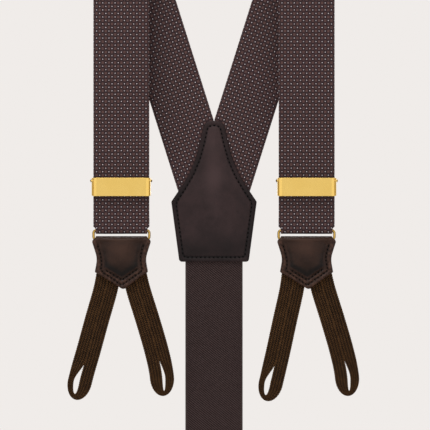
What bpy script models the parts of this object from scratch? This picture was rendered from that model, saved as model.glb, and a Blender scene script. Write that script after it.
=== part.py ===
"""Button-on suspenders that hang over two round pegs.

Metres, +Z up, and -Y is the side that faces a viewer. The origin is midway between the axes of the two pegs,
which run along Y. Each silk strap goes up the front, turns outwards over its peg and comes down and inwards to
the leather patch behind. The elastic runs on from the patch to the rear tab.
"""
import math
from collections import namedtuple

import bmesh
import bpy
from mathutils import Vector

MM = 0.001

# Layout
GAP = 0.3 * MM
FRONT_X = 59.3 * MM
PLANE_DEPTH = 7.0 * MM
SHOULDER_RADIUS = 35.0 * MM
BACK_ANGLE = math.radians(17.55)

# Straps and elastic
STRAP_HALF_WIDTH = 17.9 * MM
STRAP_THICKNESS = 1.2 * MM
SILK_THICKNESS = 0.5 * MM
LINING_THICKNESS = 0.4 * MM
RIBBON_COLUMNS = 2
ELASTIC_HALF_WIDTH = 18.5 * MM
ELASTIC_THICKNESS = 1.4 * MM
FOLD_HALF_WIDTH = 16.6 * MM
HEM_HALF_WIDTH = 17.4 * MM

# Height of the patch's tip below the pegs: the inner edges of the back straps meet there
ARC_END_X = FRONT_X + SHOULDER_RADIUS * (1.0 + math.cos(BACK_ANGLE))
ARC_END_Z = -SHOULDER_RADIUS * math.sin(BACK_ANGLE)
STRAP_X_AT_TIP = STRAP_HALF_WIDTH / math.cos(BACK_ANGLE)
TIP_Z = ARC_END_Z - (ARC_END_X - STRAP_X_AT_TIP) / math.tan(BACK_ANGLE)

# Levels on the straps
TWIST_START_Z = TIP_Z + 92.0 * MM
BACK_TWIST_END_Z = TIP_Z + 190.0 * MM
UPPER_STRAP_END_Z = TIP_Z - 23.0 * MM
FOLD_LEG_TOP_Z = TIP_Z - 64.0 * MM
STRAP_CUT_Z = TIP_Z - 67.0 * MM
ELASTIC_TOP_Z = TIP_Z - 69.0 * MM
ELASTIC_LENGTH = 162.0 * MM
ELASTIC_HEM_HEIGHT = 20.0 * MM

# Leather
LEATHER_THICKNESS = 1.4 * MM
BACKING_THICKNESS = 1.2 * MM
INTERLINING_THICKNESS = 0.6 * MM
KEEPER_THICKNESS = 1.0 * MM
KEEPER_HALF_WIDTH = 16.5 * MM
KEEPER_LEG = 3.4 * MM
TAB_EDGE_DROP = 1.2 * MM

# Ring: a wire rectangle whose upper bar is in the strap's fold and whose lower bar is in the tab's keeper
WIRE_RADIUS = 0.85 * MM
RING_HALF_WIDTH = 18.7 * MM
RING_PITCH = 5.9 * MM
RING_CORNER = 1.9 * MM
UPPER_BAR_Z = TIP_Z - 70.55 * MM

# Adjuster
ADJUSTER_Z = TIP_Z - 42.9 * MM
PLATE_HEIGHT = 11.8 * MM
PLATE_HALF_WIDTH = 16.8 * MM
PLATE_FACE_Y = -11.5 * MM
PLATE_RETURN_Y = -9.5 * MM
PLATE_THICKNESS = 0.8 * MM
FRAME_HALF_WIDTH = 18.8 * MM
FRAME_FRONT_Y = -11.0 * MM
FRAME_BACK_Y = -5.4 * MM
FRAME_THICKNESS = 0.6 * MM
PIN_BELOW_EDGE = 1.9 * MM
PIN_Y = -9.8 * MM
PIN_RADIUS = 0.6 * MM
PIN_HEAD_RADIUS = 1.4 * MM
PIN_HALF_LENGTH = 19.9 * MM
HOLE_RADIUS = 0.9 * MM
BARREL_RADIUS = 1.5 * MM
BARREL_HALF_LENGTH = 14.0 * MM
CROSSBAR_RADIUS = 0.8 * MM
CROSSBAR_Y = -2.8 * MM
CROSSBAR_DROP = 3.2 * MM
TOOTH_COUNT = 12
TOOTH_PITCH = 2.2 * MM
TOOTH_DEPTH = 1.0 * MM
TOOTH_BAR_DROP = 3.0 * MM

# Button loops: flat braid bent on edge, with a narrow slot between its two limbs
BRAID_THICKNESS = 2.2 * MM
LOOP_HALF_WIDTH = 7.7 * MM
LOOP_END_HEIGHT = 12.0 * MM
LOOP_CROWN = 3.3 * MM
LOOP_CLOSED_SLOT = 0.35 * MM
LOOP_STEPS = 12
LOOP_END_STEPS = 10

# Centre lines of the loops: (distance from the tab's middle, distance below the tab's top) in millimetres
LEFT_TAB_OUTER_ROUTE = ((-7.9, 22.5), (-10.3, 35.0), (-15.7, 54.0), (-20.9, 73.0), (-25.5, 89.0), (-29.4, 105.2))
RIGHT_TAB_INNER_ROUTE = ((-7.9, 22.5), (-9.6, 35.0), (-13.8, 54.0), (-17.9, 73.0), (-21.6, 89.0), (-25.7, 106.0))
CURVED_ROUTE = ((7.9, 22.5), (10.9, 35.0), (16.8, 54.0), (22.3, 73.0), (25.6, 88.0), (26.8, 102.8))

Row = namedtuple("Row", "point across outward half_width")
Route = namedtuple("Route", "points slot_length slot_width slot_shift")

WIDE_SLOT = {"slot_length": 17.0 * MM, "slot_width": 2.9 * MM, "slot_shift": 2.2 * MM}
THIN_SLOT = {"slot_length": 18.5 * MM, "slot_width": 1.8 * MM, "slot_shift": 1.1 * MM}

PARTS = bpy.data.collections.new("suspenders")
CUTTERS = bpy.data.collections.new("cutters")
MATERIALS = {}


def clear_scene():
    for item in list(bpy.data.objects):
        bpy.data.objects.remove(item)
    for group in (PARTS, CUTTERS):
        bpy.context.scene.collection.children.link(group)


def make_material(name, colour, roughness, metallic=0.0):
    material = bpy.data.materials.new(name)
    material.use_nodes = True
    shader = material.node_tree.nodes["Principled BSDF"]
    shader.inputs["Base Color"].default_value = (*colour, 1.0)
    shader.inputs["Roughness"].default_value = roughness
    shader.inputs["Metallic"].default_value = metallic
    MATERIALS[name] = material


def make_materials():
    make_material("silk", (0.068, 0.043, 0.042), 0.45)
    make_material("lining", (0.020, 0.015, 0.015), 0.85)
    make_material("elastic", (0.034, 0.022, 0.021), 0.80)
    make_material("leather", (0.040, 0.027, 0.026), 0.55)
    make_material("tab_leather", (0.041, 0.023, 0.017), 0.45)
    make_material("backing", (0.030, 0.018, 0.014), 0.75)
    make_material("padding", (0.12, 0.10, 0.08), 0.95)
    make_material("braid", (0.031, 0.014, 0.007), 0.80)
    make_material("gold", (0.76, 0.50, 0.14), 0.30, 1.0)


def add_part(name, data, material):
    item = bpy.data.objects.new(name, data)
    data.materials.append(MATERIALS[material])
    PARTS.objects.link(item)
    return item


def add_cutter(name, mesh):
    item = bpy.data.objects.new(name, mesh)
    item.hide_render = True
    item.display_type = "WIRE"
    CUTTERS.objects.link(item)
    return item


def solidify(item, thickness):
    shell = item.modifiers.new("thickness", "SOLIDIFY")
    shell.thickness = thickness
    shell.offset = 0.0
    shell.use_even_offset = True


def boolean(item, operation, other):
    cut = item.modifiers.new(operation.lower(), "BOOLEAN")
    cut.operation = operation
    cut.object = other
    cut.solver = "EXACT"


def smooth(t):
    t = min(max(t, 0.0), 1.0)
    return t * t * (3.0 - 2.0 * t)


def blend(low, high, t):
    return low + (high - low) * t


def rounded_corner(before, corner, after, radius, steps=6):
    """Points of the arc of a radius that rounds a corner between two straight edges."""
    into = (corner - before).normalized()
    out = (after - corner).normalized()
    turn = into.angle(out)
    if radius <= 0.0 or turn < math.radians(1.0):
        return [corner]
    reach = radius * math.tan(turn / 2.0)
    start = corner - into * reach
    side = (out - into * into.dot(out)).normalized()
    count = max(2, round(steps * turn / math.radians(90.0)))
    angles = [turn * i / count for i in range(count + 1)]
    return [start + into * radius * math.sin(a) + side * radius * (1.0 - math.cos(a)) for a in angles]


def rounded_outline(corners, closed=True):
    """An outline from (x, z, corner radius) in millimetres."""
    points = [Vector((x, z)) * MM for x, z, radius in corners]
    outline = []
    for index, corner in enumerate(points):
        if not closed and index in (0, len(points) - 1):
            outline.append(corner)
            continue
        after = points[(index + 1) % len(points)]
        outline += rounded_corner(points[index - 1], corner, after, corners[index][2] * MM)
    return outline


def mirrored(corners):
    """Both sides of an outline from the corners of its right side, top to bottom."""
    return list(corners) + [(-x, z, radius) for x, z, radius in reversed(corners)]


# Ribbons

def ribbon_mesh(name, rows, offset=0.0):
    shape = bmesh.new()
    lines = []
    for row in rows:
        middle = row.point + row.outward * offset
        steps = [2.0 * column / RIBBON_COLUMNS - 1.0 for column in range(RIBBON_COLUMNS + 1)]
        lines.append([shape.verts.new(middle + row.across * row.half_width * step) for step in steps])
    for low, high in zip(lines, lines[1:]):
        for column in range(RIBBON_COLUMNS):
            shape.faces.new((low[column], low[column + 1], high[column + 1], high[column]))
    mesh = bpy.data.meshes.new(name)
    shape.to_mesh(mesh)
    shape.free()
    return mesh


def add_ribbon(name, rows, thickness, material, offset=0.0):
    item = add_part(name, ribbon_mesh(name, rows, offset), material)
    solidify(item, thickness)
    return item


def straight_row(x, y, z, half_width):
    return Row(Vector((x, y, z)), Vector((1.0, 0.0, 0.0)), Vector((0.0, -1.0, 0.0)), half_width)


def front_rows(count=16):
    """The front run: straight at first, then a quarter twist that brings the ribbon on edge at the peg."""
    rows = [straight_row(FRONT_X, -PLANE_DEPTH, UPPER_STRAP_END_Z, STRAP_HALF_WIDTH)]
    for step in range(count + 1):
        part = smooth(step / count)
        turn = part * math.radians(90.0)
        centre = Vector((FRONT_X, -PLANE_DEPTH * (1.0 - part), blend(TWIST_START_Z, 0.0, step / count)))
        across = Vector((math.cos(turn), -math.sin(turn), 0.0))
        outward = Vector((-math.sin(turn), -math.cos(turn), 0.0))
        rows.append(Row(centre, across, outward, STRAP_HALF_WIDTH))
    return rows


def shoulder_rows(count=20):
    """The turn over the peg, past half a circle by the lean of the back strap."""
    rows = []
    for step in range(1, count + 1):
        angle = math.pi - (math.pi + BACK_ANGLE) * step / count
        outward = Vector((math.cos(angle), 0.0, math.sin(angle)))
        centre = Vector((FRONT_X + SHOULDER_RADIUS, 0.0, 0.0)) + outward * SHOULDER_RADIUS
        rows.append(Row(centre, Vector((0.0, -1.0, 0.0)), outward, STRAP_HALF_WIDTH))
    return rows


def back_row(z):
    """The back run: a quarter twist back to flat, then straight down to the patch."""
    side = Vector((math.cos(BACK_ANGLE), 0.0, -math.sin(BACK_ANGLE)))
    towards_viewer = Vector((0.0, -1.0, 0.0))
    turn = smooth((ARC_END_Z - z) / (ARC_END_Z - BACK_TWIST_END_Z)) * math.radians(90.0)
    x = STRAP_X_AT_TIP + (z - TIP_Z) * math.tan(BACK_ANGLE)
    y = PLANE_DEPTH * smooth((ARC_END_Z - z) / (ARC_END_Z - TIP_Z))
    outward = side * math.cos(turn) + towards_viewer * math.sin(turn)
    across = towards_viewer * math.cos(turn) - side * math.sin(turn)
    return Row(Vector((x, y, z)), across, outward, STRAP_HALF_WIDTH)


def back_rows(twist_count=12, straight_count=6):
    twist = [blend(ARC_END_Z, BACK_TWIST_END_Z, i / twist_count) for i in range(1, twist_count + 1)]
    end = STRAP_CUT_Z - 2.0 * STRAP_HALF_WIDTH
    straight = [blend(BACK_TWIST_END_Z, end, i / straight_count) for i in range(1, straight_count + 1)]
    return [back_row(z) for z in twist + straight]


def mirror_rows(rows, side):
    """Rows of the left strap are those of the right one, mirrored in X."""
    flip = Vector((side, 1.0, 1.0))
    return [Row(r.point * flip, r.across * flip, r.outward * flip, r.half_width) for r in rows]


def trim(mesh, point, normal):
    """Removes what lies on the side of a plane that its normal points to."""
    shape = bmesh.new()
    shape.from_mesh(mesh)
    geometry = list(shape.verts) + list(shape.edges) + list(shape.faces)
    bmesh.ops.bisect_plane(shape, geom=geometry, plane_co=point, plane_no=normal, clear_outer=True)
    shape.to_mesh(mesh)
    shape.free()


def make_strap(side_name, side):
    """Silk face and lining in one run, both cut off at the middle plane and below inside the patch."""
    rows = mirror_rows(front_rows() + shoulder_rows() + back_rows(), side)
    silk_offset = (STRAP_THICKNESS - SILK_THICKNESS) / 2.0
    lining_offset = -(STRAP_THICKNESS - LINING_THICKNESS) / 2.0
    layers = (
        ("strap_silk_", silk_offset, SILK_THICKNESS, "silk"),
        ("strap_lining_", lining_offset, LINING_THICKNESS, "lining"),
    )
    for prefix, offset, thickness, material in layers:
        item = add_ribbon(prefix + side_name, rows, thickness, material, offset)
        trim(item.data, Vector((side * GAP / 2.0, 0.0, 0.0)), Vector((-side, 0.0, 0.0)))
        trim(item.data, Vector((0.0, 0.0, STRAP_CUT_Z)), Vector((0.0, 0.0, -1.0)))


def fold_rows(x, y, bar_z, radius, wide, narrow, leg_top, back_top, steps=8):
    """A strap that comes down in front of a bar, turns round it and goes up behind it."""
    across = Vector((1.0, 0.0, 0.0))
    taper_z = bar_z + 1.25 * MM
    rows = []
    for z, half_width in ((leg_top, wide), (taper_z + 2.8 * MM, wide), (taper_z, narrow)):
        rows.append(Row(Vector((x, y - radius, z)), across, Vector((0.0, -1.0, 0.0)), half_width))
    for step in range(steps + 1):
        angle = math.pi * step / steps
        outward = Vector((0.0, -math.cos(angle), -math.sin(angle)))
        rows.append(Row(Vector((x, y, bar_z)) + outward * radius, across, outward, narrow))
    for z, half_width in ((taper_z, narrow), (taper_z + 2.8 * MM, wide), (back_top, wide)):
        rows.append(Row(Vector((x, y + radius, z)), across, Vector((0.0, 1.0, 0.0)), half_width))
    return rows


def turn_radius(thickness):
    """Distance from the wire's centre to the middle of a layer that wraps it."""
    return WIRE_RADIUS + GAP + thickness / 2.0


# Flat outlines

def add_plate(name, outline, front_y, thickness, material, x=0.0, z=0.0):
    """A flat sheet in the XZ plane with its viewer side at front_y."""
    curve = bpy.data.curves.new(name, "CURVE")
    curve.dimensions = "2D"
    curve.fill_mode = "BOTH"
    curve.extrude = thickness / 2.0
    line = curve.splines.new("POLY")
    line.points.add(len(outline) - 1)
    line.use_cyclic_u = True
    for point, place in zip(line.points, outline):
        point.co = (place.x, place.y, 0.0, 1.0)
    item = add_part(name, curve, material)
    item.location = (x, front_y + thickness / 2.0, z)
    item.rotation_euler = (math.radians(90.0), 0.0, 0.0)
    return item


def patch_corners():
    """The back patch: a narrow rounded head, hollow flanks, wide hips and a straight bottom."""
    return mirrored(((6.2, 0.0, 5.6), (12.4, -29.6, 80.0), (27.6, -52.2, 1.6), (22.4, -91.0, 2.0)))


def interlining_corners():
    """The patch's outline without its hollow flanks, kept clear of the stitching."""
    return mirrored(((3.6, -6.0, 3.0), (9.5, -30.0, 0.0), (22.2, -52.0, 1.6), (18.6, -87.0, 2.0)))


def make_patch():
    front_y = PLANE_DEPTH - ELASTIC_THICKNESS / 2.0 - GAP - LEATHER_THICKNESS
    lining_y = PLANE_DEPTH + ELASTIC_THICKNESS / 2.0 + GAP
    back_y = lining_y + INTERLINING_THICKNESS + GAP
    outline = rounded_outline(patch_corners())
    inner = rounded_outline(interlining_corners())
    add_plate("patch_front_leather", outline, front_y, LEATHER_THICKNESS, "leather", z=TIP_Z)
    add_plate("patch_interlining", inner, lining_y, INTERLINING_THICKNESS, "padding", z=TIP_Z)
    add_plate("patch_back_leather", outline, back_y, BACKING_THICKNESS, "backing", z=TIP_Z)


# Ring

def add_ring(name, x, y):
    half = (RING_HALF_WIDTH - WIRE_RADIUS) / MM
    pitch = RING_PITCH / MM
    corner = RING_CORNER / MM
    corners = ((-half, 0.0, corner), (half, 0.0, corner), (half, -pitch, corner), (-half, -pitch, corner))
    curve = bpy.data.curves.new(name, "CURVE")
    curve.dimensions = "3D"
    curve.bevel_depth = WIRE_RADIUS
    curve.bevel_resolution = 2
    outline = rounded_outline(corners)
    line = curve.splines.new("POLY")
    line.points.add(len(outline) - 1)
    line.use_cyclic_u = True
    for point, place in zip(line.points, outline):
        point.co = (place.x, 0.0, place.y, 1.0)
    item = add_part(name, curve, "gold")
    item.location = (x, y, UPPER_BAR_Z)
    return item


# Tab

def tab_corners(top, drop_width):
    """The tab's outline: rounded shoulders, a waist, square hips and a pointed end, a little off centre."""
    right = (
        (drop_width, -top, 0.8),
        (19.0, -3.2, 2.2),
        (15.4, -14.6, 14.0),
        (17.0, -23.4, 0.9),
        (15.0, -24.5, 0.4),
    )
    left = [(-x, z, radius) for x, z, radius in reversed(right)]
    return list(right) + [(1.3, -34.6, 2.4)] + left


def core_corners():
    return mirrored(((13.6, -6.6, 2.0), (12.0, -13.0, 8.0), (12.4, -17.0, 2.0), (4.0, -20.4, 2.0)))


def add_tab(place, x, bar_y, top_z):
    """A keeper over the ring's lower bar, between a front and a back leather with a padded core."""
    keeper_radius = turn_radius(KEEPER_THICKNESS)
    front_face = bar_y - keeper_radius - KEEPER_THICKNESS / 2.0 - GAP
    back_face = bar_y + keeper_radius + KEEPER_THICKNESS / 2.0 + GAP
    outline = rounded_outline(tab_corners(TAB_EDGE_DROP / MM, 16.4))
    add_plate("tab_front_" + place, outline, front_face - LEATHER_THICKNESS, LEATHER_THICKNESS,
              "tab_leather", x, top_z)
    add_plate("tab_back_" + place, outline, back_face, BACKING_THICKNESS, "backing", x, top_z)
    core_thickness = back_face - front_face - 2.0 * GAP
    add_plate("tab_padding_" + place, rounded_outline(core_corners()), front_face + GAP,
              core_thickness, "padding", x, top_z)
    bar_z = top_z - GAP - WIRE_RADIUS - GAP - KEEPER_THICKNESS
    add_ribbon("tab_keeper_" + place, keeper_rows(x, bar_y, bar_z, keeper_radius), KEEPER_THICKNESS,
               "tab_leather")


def keeper_rows(x, y, bar_z, radius, steps=8):
    across = Vector((1.0, 0.0, 0.0))
    leg_end = bar_z - KEEPER_LEG
    rows = [Row(Vector((x, y - radius, leg_end)), across, Vector((0.0, -1.0, 0.0)), KEEPER_HALF_WIDTH)]
    for step in range(steps + 1):
        angle = math.pi * step / steps
        outward = Vector((0.0, -math.cos(angle), math.sin(angle)))
        centre = Vector((x, y, bar_z)) + outward * radius
        rows.append(Row(centre, across, outward, KEEPER_HALF_WIDTH))
    rows.append(Row(Vector((x, y + radius, leg_end)), across, Vector((0.0, 1.0, 0.0)), KEEPER_HALF_WIDTH))
    return rows


# Button loops

def curve_point(points, t):
    """A smooth line through the points, with t from 0 to 1 over its whole length."""
    spans = len(points) - 1
    index = min(int(t * spans), spans - 1)
    u = t * spans - index
    p1, p2 = points[index], points[index + 1]
    p0 = points[index - 1] if index > 0 else p1 * 2.0 - p2
    p3 = points[index + 2] if index + 2 < len(points) else p2 * 2.0 - p1
    bend = (p0 * 2.0 - p1 * 5.0 + p2 * 4.0 - p3) * u * u + (p1 * 3.0 - p0 - p2 * 3.0 + p3) * u ** 3
    return (p1 * 2.0 + (p2 - p0) * u + bend) / 2.0


def loop_edges(route):
    """The outer and inner edge of a loop: down one limb, round the end and up the other."""
    points = [Vector((x, -z)) * MM for x, z in route.points]
    shift_side = math.copysign(1.0, points[-1].x)
    ahead = (points[-1] - curve_point(points, 0.93)).normalized()
    turn_t = 1.0 - LOOP_END_HEIGHT / sum((b - a).length for a, b in zip(points, points[1:]))
    crown = curve_point(points, 1.0)
    outer = []
    inner = []
    for step in range(LOOP_STEPS + 1):
        t = turn_t * step / LOOP_STEPS
        middle = curve_point(points, t)
        along = (curve_point(points, t + 0.01) - curve_point(points, max(t - 0.01, 0.0))).normalized()
        left = Vector((along.y, -along.x))
        open_part = smooth(1.0 - ((crown - middle).length - LOOP_END_HEIGHT) / route.slot_length)
        half_slot = blend(LOOP_CLOSED_SLOT, route.slot_width, open_part) / 2.0
        slot_middle = middle + Vector((shift_side, 0.0)) * route.slot_shift * open_part
        outer.append((middle + left * LOOP_HALF_WIDTH, middle - left * LOOP_HALF_WIDTH))
        inner.append((slot_middle + left * half_slot, slot_middle - left * half_slot))
    centre = crown - ahead * LOOP_END_HEIGHT
    slot_centre = centre + Vector((shift_side, 0.0)) * route.slot_shift
    left = Vector((ahead.y, -ahead.x))
    slot_reach = LOOP_END_HEIGHT - LOOP_CROWN
    for step in range(1, LOOP_END_STEPS + 1):
        angle = math.radians(90.0) * step / LOOP_END_STEPS
        wide, deep = math.cos(angle), math.sin(angle)
        outer_side, inner_side = left * LOOP_HALF_WIDTH * wide, left * route.slot_width / 2.0 * wide
        bottom = centre + ahead * LOOP_END_HEIGHT * deep
        slot_bottom = slot_centre + ahead * slot_reach * deep - Vector((shift_side, 0.0)) * (
            route.slot_shift * 0.3 * deep)
        outer.append((bottom + outer_side, bottom - outer_side))
        inner.append((slot_bottom + inner_side, slot_bottom - inner_side))
    return outer, inner


def add_loop(name, route, x, y, z):
    outer, inner = loop_edges(route)
    pairs = [(o[0], i[0]) for o, i in zip(outer, inner)]
    pairs += [(o[1], i[1]) for o, i in reversed(list(zip(outer, inner))[:-1])]
    shape = bmesh.new()
    lines = [[shape.verts.new((p.x, 0.0, p.y)) for p in pair] for pair in pairs]
    for low, high in zip(lines, lines[1:]):
        shape.faces.new((low[0], low[1], high[1], high[0]))
    mesh = bpy.data.meshes.new(name)
    shape.to_mesh(mesh)
    shape.free()
    item = add_part(name, mesh, "braid")
    item.location = (x, y, z)
    solidify(item, BRAID_THICKNESS)
    return item


# Adjuster

def extruded_strip(name, profile, low_z, high_z):
    """An open profile in the XY plane, drawn up along Z."""
    shape = bmesh.new()
    low = [shape.verts.new((p.x, p.y, low_z)) for p in profile]
    edges = [shape.edges.new(pair) for pair in zip(low, low[1:])]
    raised = bmesh.ops.extrude_edge_only(shape, edges=edges)["geom"]
    lifted = [part for part in raised if isinstance(part, bmesh.types.BMVert)]
    bmesh.ops.translate(shape, verts=lifted, vec=(0.0, 0.0, high_z - low_z))
    mesh = bpy.data.meshes.new(name)
    shape.to_mesh(mesh)
    shape.free()
    return mesh


def rod_mesh(name, radius, half_length, segments=16):
    """A round rod along X."""
    shape = bmesh.new()
    bmesh.ops.create_cone(shape, cap_ends=True, segments=segments, radius1=radius, radius2=radius,
                          depth=2.0 * half_length)
    bmesh.ops.rotate(shape, verts=shape.verts, cent=(0, 0, 0), matrix=turn_to_x())
    mesh = bpy.data.meshes.new(name)
    shape.to_mesh(mesh)
    shape.free()
    return mesh


def turn_to_x():
    return Vector((0.0, 0.0, 1.0)).rotation_difference(Vector((1.0, 0.0, 0.0))).to_matrix()


def box_mesh(name, size):
    shape = bmesh.new()
    bmesh.ops.create_cube(shape, size=1.0)
    bmesh.ops.scale(shape, verts=shape.verts, vec=size)
    mesh = bpy.data.meshes.new(name)
    shape.to_mesh(mesh)
    shape.free()
    return mesh


def add_rod_cutter(name, radius, half_length, x, y, z):
    cutter = add_cutter(name, rod_mesh(name, radius, half_length))
    cutter.location = (x, y, z)
    return cutter


def add_adjuster_frame(side_name, x):
    """A channel behind the strap, with ears for the lever's pin and lugs for the crossbar of the hem."""
    half = (FRAME_HALF_WIDTH - FRAME_THICKNESS / 2.0) / MM
    back = (FRAME_BACK_Y - FRAME_THICKNESS / 2.0) / MM
    front = FRAME_FRONT_Y / MM
    profile = rounded_outline(((-half, front, 0), (-half, back, 0.8), (half, back, 0.8), (half, front, 0)),
                              closed=False)
    name = "adjuster_frame_" + side_name
    mesh = extruded_strip(name, profile, -5.6 * MM, 5.8 * MM)
    frame = add_part(name, mesh, "gold")
    frame.location = (x, 0.0, ADJUSTER_Z)
    solidify(frame, FRAME_THICKNESS)
    bar_z = ADJUSTER_Z - CROSSBAR_DROP
    reach = FRAME_HALF_WIDTH - 0.1 * MM
    boolean(frame, "UNION", add_rod_cutter("crossbar_" + side_name, CROSSBAR_RADIUS, reach, x, CROSSBAR_Y, bar_z))
    lug_back = CROSSBAR_Y + CROSSBAR_RADIUS
    lug_depth = lug_back - FRAME_BACK_Y + FRAME_THICKNESS
    for mark, sign in (("a", -1.0), ("b", 1.0)):
        lug_name = "lug_" + mark + "_" + side_name
        lug = add_cutter(lug_name, box_mesh(lug_name, (FRAME_THICKNESS, lug_depth, 2.4 * MM)))
        lug.location = (x + sign * (FRAME_HALF_WIDTH - FRAME_THICKNESS / 2.0), lug_back - lug_depth / 2.0, bar_z)
        boolean(frame, "UNION", lug)
    boolean(frame, "DIFFERENCE", add_pin_hole("frame_hole_" + side_name, x))
    return frame


def add_pin_hole(name, x):
    return add_rod_cutter(name, HOLE_RADIUS, FRAME_HALF_WIDTH * 1.1, x, PIN_Y, pin_height())


def pin_height():
    return ADJUSTER_Z + PLATE_HEIGHT / 2.0 - PIN_BELOW_EDGE


def add_lever(side_name, x):
    """The lever plate: a face with turned back ends, on a barrel round the pin."""
    half = (PLATE_HALF_WIDTH - PLATE_THICKNESS / 2.0) / MM
    face = (PLATE_FACE_Y + PLATE_THICKNESS / 2.0) / MM
    rear = PLATE_RETURN_Y / MM
    profile = rounded_outline(((-half, rear, 0), (-half, face, 1.3), (half, face, 1.3), (half, rear, 0)),
                              closed=False)
    name = "lever_plate_" + side_name
    top = PLATE_HEIGHT / 2.0
    pin_z = pin_height()
    shift = ADJUSTER_Z - pin_z
    lever = add_part(name, extruded_strip(name, [p - Vector((0.0, PIN_Y)) for p in profile], shift - top,
                                          shift + top), "gold")
    lever.location = (x, PIN_Y, pin_z)
    solidify(lever, PLATE_THICKNESS)
    barrel_name = "barrel_" + side_name
    barrel = add_rod_cutter(barrel_name, BARREL_RADIUS, BARREL_HALF_LENGTH, x, PIN_Y, pin_z)
    boolean(lever, "UNION", barrel)
    boolean(lever, "DIFFERENCE", add_pin_hole("lever_hole_" + side_name, x))
    return lever


def add_teeth(side_name, x):
    """A toothed bar behind the lever plate: its points grip the strap when the lever is shut."""
    base_y = (PLATE_FACE_Y + PLATE_THICKNESS + GAP) / MM
    tip_y = (-PLANE_DEPTH - STRAP_THICKNESS / 2.0 - GAP) / MM
    root_y = tip_y - TOOTH_DEPTH / MM
    pitch = TOOTH_PITCH / MM
    half = TOOTH_COUNT * pitch / 2.0
    outline = [Vector((-half, base_y)) * MM, Vector((half, base_y)) * MM]
    for tooth in range(TOOTH_COUNT):
        right = half - tooth * pitch
        outline += [Vector((right, root_y)) * MM, Vector((right - pitch / 2.0, tip_y)) * MM]
    outline.append(Vector((-half, root_y)) * MM)
    name = "lever_teeth_" + side_name
    curve = bpy.data.curves.new(name, "CURVE")
    curve.dimensions = "2D"
    curve.fill_mode = "BOTH"
    curve.extrude = 0.7 * MM
    line = curve.splines.new("POLY")
    line.points.add(len(outline) - 1)
    line.use_cyclic_u = True
    for point, place in zip(line.points, outline):
        point.co = (place.x, place.y, 0.0, 1.0)
    item = add_part(name, curve, "gold")
    item.location = (x, 0.0, ADJUSTER_Z - TOOTH_BAR_DROP)
    return item


def add_pin(side_name, x):
    """A turned pin along X with a pointed head at each end."""
    head = (FRAME_HALF_WIDTH + GAP)
    profile = (
        (-PIN_HALF_LENGTH, 0.0), (-PIN_HALF_LENGTH, 0.2 * MM), (-head, PIN_HEAD_RADIUS), (-head, PIN_RADIUS),
        (head, PIN_RADIUS), (head, PIN_HEAD_RADIUS), (PIN_HALF_LENGTH, 0.2 * MM), (PIN_HALF_LENGTH, 0.0),
    )
    shape = bmesh.new()
    verts = [shape.verts.new((along, 0.0, radius)) for along, radius in profile]
    for pair in zip(verts, verts[1:]):
        shape.edges.new(pair)
    name = "hinge_pin_" + side_name
    mesh = bpy.data.meshes.new(name)
    shape.to_mesh(mesh)
    shape.free()
    item = add_part(name, mesh, "gold")
    item.location = (x, PIN_Y, pin_height())
    turned = item.modifiers.new("turned", "SCREW")
    turned.axis = "X"
    turned.steps = 16
    turned.render_steps = 16
    turned.use_merge_vertices = True
    turned.use_normal_flip = True
    turned.merge_threshold = 0.00002
    return item


def hem_rows(x, steps=16):
    """The strap's end, wrapped right round the crossbar."""
    radius = CROSSBAR_RADIUS + GAP + STRAP_THICKNESS / 2.0
    centre = Vector((x, CROSSBAR_Y, ADJUSTER_Z - CROSSBAR_DROP))
    rows = []
    for step in range(steps + 1):
        angle = math.radians(12.0) + math.radians(336.0) * step / steps
        outward = Vector((0.0, -math.sin(angle), -math.cos(angle)))
        rows.append(Row(centre + outward * radius, Vector((1.0, 0.0, 0.0)), outward, HEM_HALF_WIDTH))
    return rows


def return_rows(x, fold_y):
    """The strap's return run, from behind the ring up to the hem."""
    hem_radius = CROSSBAR_RADIUS + GAP + STRAP_THICKNESS
    top = ADJUSTER_Z - CROSSBAR_DROP - hem_radius - GAP
    hem_y = CROSSBAR_Y - 0.9 * MM
    return [
        straight_row(x, fold_y, FOLD_LEG_TOP_Z + GAP, HEM_HALF_WIDTH),
        straight_row(x, blend(fold_y, hem_y, 0.6), blend(FOLD_LEG_TOP_Z, top, 0.6), HEM_HALF_WIDTH),
        straight_row(x, hem_y, top, HEM_HALF_WIDTH),
    ]


def make_front_side(side_name, side, outer_route, inner_route):
    x = side * FRONT_X
    radius = turn_radius(STRAP_THICKNESS)
    ring_y = -PLANE_DEPTH + radius
    lower = [straight_row(x, -PLANE_DEPTH, z, STRAP_HALF_WIDTH)
             for z in (UPPER_STRAP_END_Z - GAP, FOLD_LEG_TOP_Z + GAP)]
    add_ribbon("strap_lower_" + side_name, lower, STRAP_THICKNESS, "silk")
    fold = fold_rows(x, ring_y, UPPER_BAR_Z, radius, STRAP_HALF_WIDTH, FOLD_HALF_WIDTH, FOLD_LEG_TOP_Z,
                     FOLD_LEG_TOP_Z)
    add_ribbon("strap_fold_" + side_name, fold, STRAP_THICKNESS, "silk")
    add_ribbon("strap_return_" + side_name, return_rows(x, ring_y + radius), STRAP_THICKNESS, "silk")
    add_ribbon("strap_hem_" + side_name, hem_rows(x), STRAP_THICKNESS, "silk")
    add_adjuster_frame(side_name, x)
    add_lever(side_name, x)
    add_teeth(side_name, x)
    add_pin(side_name, x)
    add_ring("ring_" + side_name, x, ring_y)
    top_z = UPPER_BAR_Z - RING_PITCH + WIRE_RADIUS + 2.0 * GAP + KEEPER_THICKNESS
    add_tab(side_name, x, ring_y, top_z)
    add_loop("button_loop_" + side_name + "_outer", outer_route, x, ring_y, top_z)
    add_loop("button_loop_" + side_name + "_inner", inner_route, x, ring_y, top_z)


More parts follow.
